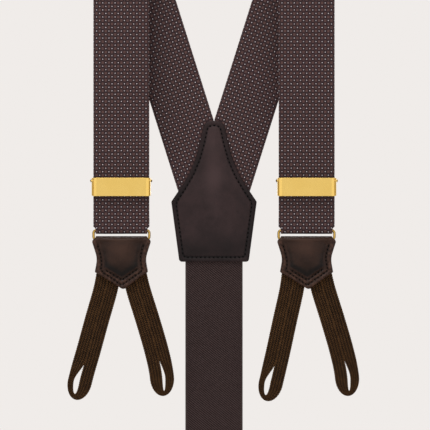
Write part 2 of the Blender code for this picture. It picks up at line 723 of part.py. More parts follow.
def make_rear():
    """The elastic, its hem on the rear ring, and the rear tab."""
    radius = turn_radius(ELASTIC_THICKNESS)
    ring_y = PLANE_DEPTH + radius
    bottom = ELASTIC_TOP_Z - ELASTIC_LENGTH
    hem_top = bottom + ELASTIC_HEM_HEIGHT
    bar_z = bottom + radius + ELASTIC_THICKNESS / 2.0
    elastic = [straight_row(0.0, PLANE_DEPTH, z, ELASTIC_HALF_WIDTH) for z in (ELASTIC_TOP_Z, hem_top + GAP)]
    add_ribbon("elastic_strap", elastic, ELASTIC_THICKNESS, "elastic")
    hem = fold_rows(0.0, ring_y, bar_z, radius, ELASTIC_HALF_WIDTH, FOLD_HALF_WIDTH, hem_top,
                    hem_top - 2.0 * MM)
    add_ribbon("elastic_hem", hem, ELASTIC_THICKNESS, "elastic")
    ring = add_ring("ring_rear", 0.0, ring_y)
    ring.location.z = bar_z
    top_z = bar_z - RING_PITCH + WIRE_RADIUS + 2.0 * GAP + KEEPER_THICKNESS
    add_tab("rear", 0.0, ring_y, top_z)
    add_loop("button_loop_rear_a", Route(LEFT_TAB_OUTER_ROUTE, **WIDE_SLOT), 0.0, ring_y, top_z)
    add_loop("button_loop_rear_b", Route(CURVED_ROUTE, **THIN_SLOT), 0.0, ring_y, top_z)


def main():
    clear_scene()
    make_materials()
    make_strap("left", -1.0)
    make_strap("right", 1.0)
    make_patch()
    curved = Route(CURVED_ROUTE, **THIN_SLOT)
    make_front_side("left", -1.0, Route(LEFT_TAB_OUTER_ROUTE, **WIDE_SLOT), curved)
    make_front_side("right", 1.0, curved, Route(RIGHT_TAB_INNER_ROUTE, **WIDE_SLOT))
    make_rear()


main()
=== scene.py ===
import math
from collections import namedtuple

import bmesh
import bpy
import numpy as np
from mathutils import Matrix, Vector, noise
from mathutils.geometry import delaunay_2d_cdt


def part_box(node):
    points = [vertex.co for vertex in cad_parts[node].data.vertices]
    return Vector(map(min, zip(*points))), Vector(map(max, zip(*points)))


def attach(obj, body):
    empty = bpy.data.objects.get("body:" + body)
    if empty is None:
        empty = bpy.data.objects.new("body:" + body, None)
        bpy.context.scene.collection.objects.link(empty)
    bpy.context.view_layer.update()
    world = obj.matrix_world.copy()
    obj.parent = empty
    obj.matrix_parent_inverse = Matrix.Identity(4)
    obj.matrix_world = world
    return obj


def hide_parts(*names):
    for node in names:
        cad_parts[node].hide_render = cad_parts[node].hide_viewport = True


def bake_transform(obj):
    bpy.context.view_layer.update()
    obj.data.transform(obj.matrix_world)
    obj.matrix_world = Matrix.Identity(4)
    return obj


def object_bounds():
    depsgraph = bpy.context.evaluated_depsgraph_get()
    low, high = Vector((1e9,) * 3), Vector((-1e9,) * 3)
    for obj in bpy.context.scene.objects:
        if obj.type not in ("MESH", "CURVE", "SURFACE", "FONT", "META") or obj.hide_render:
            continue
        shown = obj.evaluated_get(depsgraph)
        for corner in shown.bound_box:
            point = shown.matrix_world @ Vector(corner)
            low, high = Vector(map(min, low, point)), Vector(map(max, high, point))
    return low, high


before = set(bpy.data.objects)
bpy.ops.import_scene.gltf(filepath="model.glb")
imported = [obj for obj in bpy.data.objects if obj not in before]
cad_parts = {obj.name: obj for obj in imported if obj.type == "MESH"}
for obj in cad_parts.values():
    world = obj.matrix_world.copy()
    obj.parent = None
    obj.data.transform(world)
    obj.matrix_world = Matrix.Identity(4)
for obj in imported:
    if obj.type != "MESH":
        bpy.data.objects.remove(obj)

CAD_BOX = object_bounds()
MM = 0.001
SIDES = (("left", -1.0), ("right", 1.0))
ACROSS_X = Vector((1.0, 0.0, 0.0))
TO_VIEWER = Vector((0.0, -1.0, 0.0))

# ---------------------------------------------------------------- measures from the frame


def span(node, axis):
    """Lowest and highest coordinate of a CAD node along one axis."""
    low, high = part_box(node)
    return low[axis], high[axis]


def middle(node, axis):
    return sum(span(node, axis)) / 2.0


def size(node, axis):
    low, high = span(node, axis)
    return high - low


TIP_Z = span("patch_front_leather", 2)[1]
FRONT_X = middle("strap_lower_right", 0)
FRONT_Y = middle("strap_lower_right", 1)
BACK_Y = middle("elastic_strap", 1)
STRAP_HALF = size("strap_lower_right", 0) / 2.0
STRAP_THICK = size("strap_lower_right", 1)
BACK_LEAN = math.radians(17.55)
SHOULDER_RADIUS = (span("strap_silk_right", 0)[1] - FRONT_X - STRAP_THICK / 2.0) / 2.0
ARC_END_Z = -SHOULDER_RADIUS * math.sin(BACK_LEAN)
STRAP_X_AT_TIP = STRAP_HALF / math.cos(BACK_LEAN)
TWIST_START_Z = TIP_Z + 92.0 * MM
BACK_TWIST_END_Z = TIP_Z + 190.0 * MM
STRAP_CUT_Z = TIP_Z - 66.0 * MM
LEG_TOP_Z = span("strap_fold_right", 2)[1]
WIRE_RADIUS = size("ring_right", 1) / 2.0
RING_Y = middle("ring_right", 1)
UPPER_BAR_Z = span("ring_right", 2)[1] - WIRE_RADIUS
FOLD_HALF = 16.6 * MM
HEM_HALF = size("strap_hem_right", 0) / 2.0

Row = namedtuple("Row", "point across outward half")

# ---------------------------------------------------------------- small tools


def smooth(t):
    t = min(max(t, 0.0), 1.0)
    return t * t * (3.0 - 2.0 * t)


def mix(low, high, t):
    return low + (high - low) * t


def make_mesh(name, points, faces, material, cloth=None):
    """An object from points and faces. cloth gives each point the three values that Nodes.place reads."""
    mesh = bpy.data.meshes.new(name)
    mesh.from_pydata([tuple(p) for p in points], [], faces)
    if cloth is not None:
        layer = mesh.attributes.new("cloth", "FLOAT_VECTOR", "POINT")
        layer.data.foreach_set("vector", np.array(cloth, np.float32).ravel())
    shape = bmesh.new()
    shape.from_mesh(mesh)
    bmesh.ops.recalc_face_normals(shape, faces=shape.faces)
    shape.to_mesh(mesh)
    shape.free()
    mesh.shade_smooth()
    item = bpy.data.objects.new(name, mesh)
    mesh.materials.append(material)
    bpy.context.scene.collection.objects.link(item)
    return item


def set_tone(item, values):
    """Marks how much lighter or darker each point of a piece is: mostly painted shade and highlights."""
    layer = item.data.attributes.new("tone", "FLOAT", "POINT")
    layer.data.foreach_set("value", np.array(values, np.float32))


def rounded_corner(before, corner, after, radius, steps):
    """Points of the arc that rounds one corner, or the corner itself."""
    into = (corner - before).normalized()
    out = (after - corner).normalized()
    turn = into.angle(out)
    if radius <= 0.0 or turn < math.radians(1.0):
        return [corner]
    start = corner - into * radius * math.tan(turn / 2.0)
    side = (out - into * into.dot(out)).normalized()
    count = max(3, round(steps * turn / math.radians(90.0)))
    angles = [turn * i / count for i in range(count + 1)]
    return [start + into * radius * math.sin(a) + side * radius * (1.0 - math.cos(a)) for a in angles]


def rounded_outline(corners, steps=12, unit=MM):
    """A closed outline from its corners, each with its radius."""
    points = [Vector((x, z)) * unit for x, z, _ in corners]
    outline = []
    for index, corner in enumerate(points):
        after = points[(index + 1) % len(points)]
        outline += rounded_corner(points[index - 1], corner, after, corners[index][2] * unit, steps)
    return outline


def circle(sides):
    """Cosine and sine of that many even steps of a whole turn."""
    angles = [2.0 * math.pi * k / sides for k in range(sides)]
    return [(math.cos(angle), math.sin(angle)) for angle in angles]


def tube_faces(count, sides, base=0, closed=False):
    """Faces of a tube of rings, with a cap at each end unless it closes on itself.

    base is the number of its first point.
    """
    faces = []
    for i in range(count if closed else count - 1):
        low, high = base + i * sides, base + (i + 1) % count * sides
        for k in range(sides):
            turned = (k + 1) % sides
            faces.append((low + k, low + turned, high + turned, high + k))
    if not closed:
        for first in (base, base + (count - 1) * sides):
            faces.append(tuple(range(first, first + sides)))
    return faces


def mirrored(corners):
    return list(corners) + [(-x, z, radius) for x, z, radius in reversed(corners)]


def evenly(points, spacing, closed=True):
    """Points at an even spacing along a line, as an array."""
    line = np.array([tuple(p) for p in points])
    if closed:
        line = np.vstack([line, line[:1]])
    lengths = np.concatenate([[0.0], np.cumsum(np.linalg.norm(np.diff(line, axis=0), axis=1))])
    count = max(3, round(lengths[-1] / spacing))
    places = np.linspace(0.0, lengths[-1], count + (0 if closed else 1), endpoint=not closed)
    return np.stack([np.interp(places, lengths, line[:, k]) for k in range(line.shape[1])], axis=1)


def soft_distance(points, line, softness):
    """Distance inside a closed line of a few corners, without creases where its sides are equally near."""
    total = 0.0
    for a, b in zip(line, np.roll(line, -1, axis=0)):
        total = total + np.exp(-distance_to_line(points, np.array([a, b]), False) / softness)
    return -softness * np.log(total)


def distance_to_line(points, line, closed):
    """Distance from each point to a line of points, as arrays."""
    a = line if closed else line[:-1]
    b = np.roll(line, -1, axis=0) if closed else line[1:]
    run = b - a
    rel = points[:, None, :] - a[None]
    t = np.clip((rel * run).sum(2) / np.maximum((run ** 2).sum(1), 1e-18), 0.0, 1.0)
    return np.linalg.norm(rel - t[:, :, None] * run, axis=2).min(1)


def inside(points, line):
    """True for the points inside a closed outline."""
    x, z = points[:, 0][:, None], points[:, 1][:, None]
    x0, z0 = line[:, 0][None], line[:, 1][None]
    x1, z1 = np.roll(line[:, 0], -1)[None], np.roll(line[:, 1], -1)[None]
    crosses = (z0 > z) != (z1 > z)
    where = x0 + (z - z0) * (x1 - x0) / np.where(z1 == z0, 1e-12, z1 - z0)
    return (crosses & (x < where)).sum(1) % 2 == 1


def normals(along):
    """Unit vectors at right angles to directions in the plane, as arrays."""
    along = along / np.linalg.norm(along, axis=1)[:, None]
    return np.stack([-along[:, 1], along[:, 0]], axis=1)


def smooth_array(t):
    t = np.clip(t, 0.0, 1.0)
    return t * t * (3.0 - 2.0 * t)


# ---------------------------------------------------------------- shader nodes


class Nodes:
    """The node tree of one procedural material."""

    def __init__(self, name):
        self.material = bpy.data.materials.new(name)
        self.material.use_nodes = True
        self.tree = self.material.node_tree
        self.shader = self.tree.nodes["Principled BSDF"]

    def add(self, kind, inputs=None, **settings):
        node = self.tree.nodes.new("ShaderNode" + kind)
        for key, value in settings.items():
            setattr(node, key, value)
        for key, value in (inputs or {}).items():
            self.put(node.inputs[key], value)
        return node

    def put(self, socket, value):
        if isinstance(value, bpy.types.NodeSocket):
            self.tree.links.new(value, socket)
        else:
            socket.default_value = value

    def math(self, operation, *values):
        return self.add("Math", dict(enumerate(values)), operation=operation).outputs[0]

    def plus(self, first, second):
        return self.math("ADD", first, second)

    def times(self, first, second):
        return self.math("MULTIPLY", first, second)

    def wave(self, place, period):
        return self.math("SINE", self.times(place, 2.0 * math.pi / period))

    def tone(self):
        """How much lighter or darker a point is, mostly painted shade and highlights, from the attribute that
        set_tone writes.
        """
        return self.add("Attribute", attribute_name="tone").outputs["Fac"]

    def fade(self, value, start, end, low=0.0, high=1.0):
        settings = {"Value": value, "From Min": start, "From Max": end, "To Min": low, "To Max": high}
        return self.add("MapRange", settings, interpolation_type="SMOOTHSTEP").outputs[0]

    def colour(self, factor, low, high):
        node = self.add("Mix", data_type="RGBA")
        self.put(node.inputs["Factor"], factor)
        self.put(node.inputs["A"], low if isinstance(low, bpy.types.NodeSocket) else (*low, 1.0))
        self.put(node.inputs["B"], high if isinstance(high, bpy.types.NodeSocket) else (*high, 1.0))
        return node.outputs["Result"]

    def place(self):
        """The cloth attribute: across and along the flat material in mm, and a mark of the piece's own."""
        vector = self.add("Attribute", attribute_name="cloth").outputs["Vector"]
        split = self.add("SeparateXYZ", {"Vector": vector})
        return vector, split.outputs[0], split.outputs[1], split.outputs[2]

    def noise(self, vector, scale, detail=3.0, roughness=0.5):
        settings = {"Vector": vector, "Scale": scale, "Detail": detail, "Roughness": roughness}
        return self.add("TexNoise", settings).outputs["Fac"]

    def object_place(self):
        return self.add("TexCoord").outputs["Object"]

    def finish(self, colour, roughness, height, depth, distance=0.0002, **constants):
        """Links the shader's inputs, with bump from height, and sets its constant values."""
        self.put(self.shader.inputs["Base Color"], colour)
        self.put(self.shader.inputs["Roughness"], roughness)
        bump = self.add("Bump", {"Height": height, "Strength": depth, "Distance": distance})
        self.put(self.shader.inputs["Normal"], bump.outputs[0])
        for key, value in constants.items():
            self.shader.inputs[key.replace("_", " ")].default_value = value
        return self.material


DOT_PITCH_ACROSS = 1.98
DOT_PITCH_ALONG = 2.25
THREAD_PITCH = 0.36


def silk_material():
    """Dark brown silk: on a chequered grid, pale pin dots alternate with small brown woven squares."""
    n = Nodes("silk")
    vector, across, along, _ = n.place()
    column = n.math("DIVIDE", across, DOT_PITCH_ACROSS)
    line = n.math("DIVIDE", along, DOT_PITCH_ALONG)
    column_cell, line_cell = n.math("ROUND", column), n.math("ROUND", line)
    dx = n.times(n.math("SUBTRACT", column, column_cell), DOT_PITCH_ACROSS)
    dy = n.times(n.math("SUBTRACT", line, line_cell), DOT_PITCH_ALONG)
    odd = n.math("FLOORED_MODULO", n.plus(column_cell, line_cell), 2.0)
    even = n.math("SUBTRACT", 1.0, odd)
    reach = n.math("SQRT", n.plus(n.times(dx, dx), n.times(dy, dy)))
    dot = n.times(n.fade(reach, 0.42, 0.22), even)
    box = n.math("MAXIMUM", n.math("ABSOLUTE", dx), n.times(n.math("ABSOLUTE", dy), 0.95))
    square = n.times(n.fade(box, 0.95, 0.50), odd)
    weft = n.wave(along, THREAD_PITCH)
    warp = n.wave(across, THREAD_PITCH)
    thread = n.plus(n.times(weft, 0.5), n.times(warp, 0.25))
    slub = n.noise(vector, 0.55, 4.0, 0.6)
    ground = n.colour(slub, (0.025, 0.0115, 0.0125), (0.053, 0.026, 0.028))
    ground = n.colour(n.fade(thread, -0.5, 0.7), (0.019, 0.010, 0.011), ground)
    woven = n.colour(n.noise(vector, 1.7, 2.0), (0.060, 0.029, 0.026), (0.118, 0.062, 0.056))
    colour = n.colour(square, ground, woven)
    pin = n.colour(n.noise(vector, 0.9, 1.0), (0.34, 0.29, 0.30), (0.66, 0.60, 0.62))
    colour = n.colour(dot, colour, pin)
    raised = n.plus(n.times(dot, 1.2), n.times(square, 0.55))
    height = n.plus(raised, n.times(thread, 0.30))
    roughness = n.fade(slub, 0.3, 0.7, 0.42, 0.60)
    return n.finish(colour, roughness, height, 0.55, 0.00012, Specular_IOR_Level=0.12, Sheen_Weight=0.02,
                    Sheen_Roughness=0.45)


def lining_material():
    """Plain dark backing with a fine twill."""
    n = Nodes("lining")
    vector, across, along, _ = n.place()
    twill = n.wave(n.plus(across, along), 0.7)
    shade = n.noise(vector, 0.35, 4.0)
    colour = n.colour(shade, (0.018, 0.0135, 0.0135), (0.042, 0.032, 0.031))
    colour = n.colour(n.fade(twill, -1.0, 1.0), (0.009, 0.007, 0.007), colour)
    return n.finish(colour, n.fade(shade, 0.2, 0.8, 0.7, 0.9), twill, 0.5, 0.00012, Specular_IOR_Level=0.2)


def elastic_material(half_mm):
    """Dark elastic in a steep twill, with a smooth selvedge at both edges."""
    n = Nodes("elastic")
    vector, across, along, _ = n.place()
    steep = n.plus(n.times(across, 0.8), along)
    twill = n.wave(steep, 1.5)
    rib = n.wave(along, 0.62)
    edge = n.fade(n.math("ABSOLUTE", across), half_mm - 1.5, half_mm - 0.9)
    shade = n.noise(vector, 0.4, 4.0, 0.6)
    ridge = n.plus(n.fade(twill, -0.9, 0.9), n.times(rib, 0.12))
    body = n.colour(ridge, (0.004, 0.0024, 0.0024), (0.070, 0.0415, 0.0395))
    body = n.colour(n.times(shade, 0.3), body, (0.023, 0.014, 0.0135))
    colour = n.colour(edge, body, (0.046, 0.031, 0.029))
    height = n.plus(n.times(ridge, n.math("SUBTRACT", 1.0, edge)), n.times(rib, 0.25))
    roughness = n.fade(shade, 0.3, 0.7, 0.62, 0.82)
    return n.finish(colour, roughness, height, 0.8, 0.00022, Specular_IOR_Level=0.12)


def leather_material(name, dark, light, gloss, grain):
    """Smooth leather: fine pores, mottling, painted shade and painted highlights from the tone attribute, and
    a worn, lighter rim.
    """
    n = Nodes(name)
    _, _, _, rim = n.place()
    place = n.object_place()
    mottle = n.noise(place, 120.0, 5.0, 0.6)
    pores = n.add("TexVoronoi", {"Vector": place, "Scale": 1500.0}, feature="F1").outputs["Distance"]
    creases = n.noise(place, 900.0, 5.0, 0.65)
    base = n.colour(n.fade(mottle, 0.3, 0.7), dark, light)
    base = n.colour(n.times(n.fade(pores, 0.35, 0.05), 0.35), base, tuple(v * 0.45 for v in dark))
    # The tone attribute paints highlights where it is above zero and shade where it is below.
    tone = n.tone()
    base = n.colour(n.fade(tone, 0.0, 1.0), base, tuple(v * 1.9 + 0.004 for v in light))
    base = n.colour(n.fade(tone, 0.0, -1.0), base, tuple(v * 0.22 for v in dark))
    worn = n.times(rim, n.fade(creases, 0.35, 0.65, 0.1, 0.6))
    colour = n.colour(worn, base, tuple(v * 1.7 for v in light))
    height = n.plus(n.times(creases, 0.7), n.times(pores, 0.5))
    roughness = n.fade(n.plus(mottle, n.times(creases, 0.3)), 0.4, 0.9, gloss, gloss + 0.18)
    return n.finish(colour, roughness, height, grain, 0.00015, Specular_IOR_Level=0.16)


def gold_material(name, low, high):
    """Satin gold plate: very fine brushing along its length, and a few soft patches."""
    n = Nodes(name)
    place = n.object_place()
    stretched = n.add("Mapping", {"Vector": place, "Scale": (60.0, 900.0, 2600.0)}).outputs[0]
    brushed = n.noise(stretched, 1.0, 3.0, 0.6)
    patches = n.noise(place, 90.0, 3.0)
    colour = n.colour(n.fade(patches, 0.3, 0.7), low, high)
    roughness = n.plus(n.fade(patches, 0.25, 0.75, 0.20, 0.25), n.times(brushed, 0.03))
    return n.finish(colour, roughness, brushed, 0.004, 0.00002, Metallic=1.0)


def braid_material():
    """Matt braided yarn: strands with fine fibres, with painted shade at their edges, in the gaps between
    columns where their tone is low, and on the core between them.
    """
    n = Nodes("braid")
    vector, across, along, strand = n.place()
    # Painted shade, taken to near black below: at the strands' edges, in the gaps between columns where the
    # tone is low, and on the core.
    edge = n.fade(n.math("ABSOLUTE", across), 0.24, 0.54)
    under = n.fade(n.tone(), 0.80, 0.30)
    painted_gap_shade = n.math("MAXIMUM", n.math("MAXIMUM", edge, under), n.fade(strand, 0.9, 0.4))
    twist = n.plus(n.times(across, 2.2), n.times(along, 1.3))
    fibre = n.math("SINE", n.times(twist, 6.0))
    fuzz = n.noise(vector, 3.0, 4.0, 0.7)
    tone = n.noise(n.add("CombineXYZ", {"X": strand, "Y": n.times(along, 0.12)}).outputs[0], 1.0, 2.0)
    base = n.colour(n.fade(tone, 0.3, 0.7), (0.052, 0.0225, 0.0066), (0.092, 0.0420, 0.0138))
    colour = n.colour(n.times(n.fade(fibre, 1.0, -1.0), 0.12), base, (0.014, 0.006, 0.0025))
    colour = n.colour(n.times(painted_gap_shade, 0.96), colour, (0.0020, 0.0010, 0.0007))
    height = n.plus(fibre, fuzz)
    return n.finish(colour, n.fade(fuzz, 0.2, 0.8, 0.7, 0.9), height, 0.4, 0.00010, Specular_IOR_Level=0.12)


def thread_material():
    """Black waxed thread with a visible twist."""
    n = Nodes("thread")
    _, across, along, _ = n.place()
    twist = n.math("SINE", n.times(n.plus(across, along), 14.0))
    colour = n.colour(n.fade(twist, -1.0, 1.0), (0.0008, 0.0007, 0.0007), (0.0035, 0.0028, 0.0026))
    roughness = n.fade(twist, -1.0, 1.0, 0.6, 0.8)
    return n.finish(colour, roughness, twist, 0.4, 0.00008, Specular_IOR_Level=0.08)


def floor_material():
    n = Nodes("floor")
    place = n.object_place()
    speckle = n.noise(place, 30.0, 3.0)
    colour = n.colour(speckle, (0.88, 0.855, 0.83), (0.92, 0.895, 0.87))
    return n.finish(colour, n.fade(speckle, 0.0, 1.0, 0.7, 0.8), speckle, 0.05, 0.0002)


SILK = silk_material()
LINING = lining_material()
ELASTIC = elastic_material(size("elastic_strap", 0) / 2.0 / MM)
PATCH_DARK, PATCH_LIGHT = (0.0171, 0.0088, 0.0088), (0.0306, 0.0169, 0.0169)
PATCH_LEATHER = leather_material("patch_leather", PATCH_DARK, PATCH_LIGHT, 0.48, 0.3)
TAB_LEATHER = leather_material("tab_leather", (0.018, 0.0070, 0.0038), (0.031, 0.0132, 0.0078), 0.36, 0.28)
BACKING = leather_material("backing_leather", (0.030, 0.019, 0.014), (0.052, 0.034, 0.026), 0.70, 0.5)
EDGE_PAINT = leather_material("edge_paint", (0.010, 0.006, 0.005), (0.018, 0.011, 0.009), 0.45, 0.3)
GOLD = gold_material("gold", (0.635, 0.420, 0.112), (0.662, 0.446, 0.126))
# A darker copy of the gold for the rings: painted shade, since the rings hang in shadow.
SHADED_WIRE_GOLD = gold_material("shaded_wire_gold", (0.40, 0.25, 0.065), (0.47, 0.30, 0.08))
BRAID = braid_material()
THREAD = thread_material()

# ---------------------------------------------------------------- camera, light and floor

LENS = 200.0
CAMERA_X = 0.64 * MM
CAMERA_DISTANCE = 1.529
CAMERA_BELOW_TIP = 60.8 * MM
BACKDROP = (0.871, 0.838, 0.815)
FLOOR_DROP = 50.0 * MM
FLOOR_RADIUS = 1.9
FLOOR_SIDES = 128
LIT_LEVEL = 0.24
REFLECTED_LEVEL = 0.50


def make_camera():
    """The photo's view: straight on, a little below the patch's tip, with a long lens."""
    data = bpy.data.cameras.new("camera")
    data.lens = LENS
    data.clip_end = 20.0
    camera = bpy.data.objects.new("camera", data)
    camera.location = (CAMERA_X, FRONT_Y - CAMERA_DISTANCE, TIP_Z - CAMERA_BELOW_TIP)
    camera.rotation_euler = (math.radians(90.0), 0.0, 0.0)
    bpy.context.scene.collection.objects.link(camera)
    bpy.context.scene.camera = camera


def make_world():
    """The camera sees the pale backdrop; the object is lit by an even grey, brighter in reflections."""
    world = bpy.data.worlds.new("world")
    world.use_nodes = True
    bpy.context.scene.world = world
    tree = world.node_tree
    seen, lit = tree.nodes["Background"], tree.nodes.new("ShaderNodeBackground")
    seen.inputs["Color"].default_value = (*BACKDROP, 1.0)
    lit.inputs["Color"].default_value = (0.96, 0.98, 1.0, 1.0)
    choice = tree.nodes.new("ShaderNodeMixShader")
    path = tree.nodes.new("ShaderNodeLightPath")
    level = tree.nodes.new("ShaderNodeMapRange")
    level.inputs["To Min"].default_value = LIT_LEVEL
    level.inputs["To Max"].default_value = REFLECTED_LEVEL
    links = (
        (path.outputs["Is Glossy Ray"], level.inputs["Value"]),
        (level.outputs["Result"], lit.inputs["Strength"]),
        (path.outputs["Is Camera Ray"], choice.inputs[0]),
        (lit.outputs[0], choice.inputs[1]),
        (seen.outputs[0], choice.inputs[2]),
        (choice.outputs[0], tree.nodes["World Output"].inputs["Surface"]),
    )
    for source, target in links:
        tree.links.new(source, target)


def make_light(name, place, target, width, height, power):
    """A soft rectangular light aimed at target, which the camera doesn't see."""
    data = bpy.data.lights.new(name, "AREA")
    data.shape = "RECTANGLE"
    data.size, data.size_y, data.energy = width, height, power
    light = bpy.data.objects.new(name, data)
    light.location = place
    light.rotation_euler = (Vector(target) - Vector(place)).to_track_quat("-Z", "Y").to_euler()
    light.visible_camera = False
    bpy.context.scene.collection.objects.link(light)


def make_lights():
    middle_point = (0.0, 0.0, TIP_Z)
    make_light("front", (0.0, -2.3, TIP_Z), middle_point, 2.4, 2.4, 14.0)
    make_light("key", (-0.35, -0.7, TIP_Z + 1.25), middle_point, 1.1, 0.7, 15.0)
    make_light("strip_left", (-1.25, -1.15, TIP_Z), middle_point, 1.2, 1.6, 6.3)
    make_light("strip_right", (1.25, -1.15, TIP_Z), middle_point, 1.2, 1.6, 6.3)
    make_light("back", (0.5, 1.9, TIP_Z + 0.7), middle_point, 1.6, 1.6, 20.0)


def make_floor():
    """A pale disc below the object, small enough to stay out of the main view."""
    level = CAD_BOX[0][2] - FLOOR_DROP
    points = [(0.0, 0.0, level)]
    points += [(FLOOR_RADIUS * a, FLOOR_RADIUS * b, level) for a, b in circle(FLOOR_SIDES)]
    faces = [(0, 1 + i, 1 + (i + 1) % FLOOR_SIDES) for i in range(FLOOR_SIDES)]
    make_mesh("floor", points, faces, floor_material())


# ---------------------------------------------------------------- button loops of flat braid

BRAID_STRANDS = 9
BRAID_PERIOD = 13.0 * MM
BRAID_COLUMNS = 4
STRAND_SIDES = 7
STRAND_HALF_THICK = 0.42 * MM
STRAND_HALF_WIDE = 0.58 * MM
WEAVE_HEIGHT = 0.50 * MM
LOOP_HALF = 7.7 * MM
CORE_SECTION = ((-1.0, 0.0), (0.0, -0.35), (1.0, 0.0), (0.0, 0.35))
LOOP_END_HEIGHT = 12.0 * MM
LOOP_CLOSED_SLOT = -0.35 * MM
LIMB_STEPS = 60
END_STEPS = 36

Route = namedtuple("Route", "points slot_length slot_width slot_shift crown")
# Each route is the middle of a loop, as mm across and mm below the tab's top.
LEFT_OUTER_ROUTE = ((-7.9, 22.5), (-10.3, 35.0), (-15.7, 54.0), (-20.9, 73.0), (-25.5, 89.0),
                    (-29.4, 105.2))
RIGHT_INNER_ROUTE = ((-7.9, 22.5), (-9.6, 35.0), (-13.8, 54.0), (-17.9, 73.0), (-21.6, 89.0),
                     (-25.7, 106.0))
CURVED_ROUTE = ((7.9, 22.5), (10.9, 35.0), (16.8, 54.0), (22.3, 73.0), (25.6, 88.0), (26.8, 102.8))
WIDE_SLOT = {"slot_length": 17.0 * MM, "slot_width": 3.7 * MM, "slot_shift": 2.1 * MM, "crown": 4.0 * MM}
THIN_SLOT = {"slot_length": 18.5 * MM, "slot_width": 2.0 * MM, "slot_shift": 1.1 * MM, "crown": 3.4 * MM}
LOOPS = (
    ("left", "outer", Route(LEFT_OUTER_ROUTE, **WIDE_SLOT)),
    ("left", "inner", Route(CURVED_ROUTE, **THIN_SLOT)),
    ("right", "outer", Route(CURVED_ROUTE, **THIN_SLOT)),
    ("right", "inner", Route(RIGHT_INNER_ROUTE, **WIDE_SLOT)),
    ("rear", "a", Route(LEFT_OUTER_ROUTE, **WIDE_SLOT)),
    ("rear", "b", Route(CURVED_ROUTE, **THIN_SLOT)),
)
TAB_EDGE_DROP = 1.2 * MM


def tab_top(place):
    return Vector((middle("ring_" + place, 0), middle("ring_" + place, 1),
                   span("tab_front_" + place, 2)[1] + TAB_EDGE_DROP))


def curve_point(points, t):
    """A smooth line through the points, with t from 0 to 1 over its whole length."""
    spans = len(points) - 1
    index = min(int(t * spans), spans - 1)
    u = t * spans - index
    p1, p2 = points[index], points[index + 1]
    p0 = points[index - 1] if index > 0 else p1 * 2.0 - p2
    p3 = points[index + 2] if index + 2 < len(points) else p2 * 2.0 - p1
    bend = (p0 * 2.0 - p1 * 5.0 + p2 * 4.0 - p3) * u * u + (p1 * 3.0 - p0 - p2 * 3.0 + p3) * u ** 3
    return (p1 * 2.0 + (p2 - p0) * u + bend) / 2.0


def loop_edges(route):
    """Outer and inner edge of a loop's band, down one limb, round the end and up the other."""
    points = [Vector((x, -z)) * MM for x, z in route.points]
    shift_side = Vector((math.copysign(1.0, points[-1].x), 0.0))
    ahead = (points[-1] - curve_point(points, 0.93)).normalized()
    turn_t = 1.0 - LOOP_END_HEIGHT / sum((b - a).length for a, b in zip(points, points[1:]))
    crown = curve_point(points, 1.0)
    pairs = []
    for step in range(LIMB_STEPS + 1):
        t = turn_t * step / LIMB_STEPS
        centre = curve_point(points, t)
        along = (curve_point(points, t + 0.01) - curve_point(points, max(t - 0.01, 0.0))).normalized()
        left = Vector((along.y, -along.x))
        open_part = smooth(1.0 - ((crown - centre).length - LOOP_END_HEIGHT) / route.slot_length) ** 1.5
        half_slot = mix(LOOP_CLOSED_SLOT, route.slot_width, open_part) / 2.0
        slot_centre = centre + shift_side * route.slot_shift * open_part
        pairs.append([(centre + left * LOOP_HALF * s, slot_centre + left * half_slot * s)
                      for s in (1.0, -1.0)])
    centre = crown - ahead * LOOP_END_HEIGHT
    slot_centre = centre + shift_side * route.slot_shift
    left = Vector((ahead.y, -ahead.x))
    for step in range(1, END_STEPS + 1):
        angle = math.radians(90.0) * step / END_STEPS
        wide, deep = math.cos(angle), math.sin(angle)
        bottom = centre + ahead * LOOP_END_HEIGHT * deep
        slot_bottom = slot_centre + ahead * (LOOP_END_HEIGHT - route.crown) * deep
        slot_bottom -= shift_side * route.slot_shift * 0.3 * deep
        half_limb, half_slot = LOOP_HALF * wide, route.slot_width / 2.0 * wide
        pairs.append([(bottom + left * half_limb * s, slot_bottom + left * half_slot * s)
                      for s in (1.0, -1.0)])
    return [p[0] for p in pairs] + [p[1] for p in reversed(pairs[:-1])]


def loop_band(route, top):
    """The band's middle, its half across vector and the length so far, at even steps, as arrays."""
    pairs = loop_edges(route)
    outer, inner = [np.array([(top.x + pair[side].x, top.z + pair[side].y) for pair in pairs])
                    for side in (0, 1)]
    centre = (outer + inner) / 2.0
    run = np.concatenate([[0.0], np.cumsum(np.linalg.norm(np.diff(centre, axis=0), axis=1))])
    places = np.linspace(0.0, run[-1], round(run[-1] / (0.5 * MM)))
    band = np.hstack([centre, (inner - outer) / 2.0])
    band = np.stack([np.interp(places, run, band[:, k]) for k in range(4)], axis=1)
    return band[:, :2], band[:, 2:], places


def strand_path(centre, half, run, index):
    """Where one strand of the flat braid runs, how far it is lifted, and its place across, from -1 to 1."""
    phase = 2.0 * math.pi * (run / BRAID_PERIOD + index / BRAID_STRANDS)
    keep = 0.985
    side = np.arcsin(keep * np.sin(phase)) / math.asin(keep)
    heading = np.clip(2.6 * np.cos(phase), -1.0, 1.0)
    lift = WEAVE_HEIGHT * heading * np.cos((phase - math.pi / 2.0) * BRAID_STRANDS)
    reach = 1.0 - 0.30 * MM / np.linalg.norm(half, axis=1)
    flat = centre + half * (side * reach)[:, None]
    return flat, lift, side


def strand_rings(flat, lift, depth, squeeze, run, index):
    """Oval rings along a strand, and their place on the material."""
    normal = normals(np.gradient(flat, axis=0))
    points, cloth = [], []
    for i in range(len(flat)):
        for a, b in circle(STRAND_SIDES):
            wide = STRAND_HALF_WIDE * squeeze[i] * a
            deep = STRAND_HALF_THICK * b
            x, z = flat[i] + normal[i] * wide
            points.append((x, depth - lift[i] - deep, z))
            cloth.append((wide / MM, run[i] / MM, index * 3.7 + 1.0))
    return points, cloth


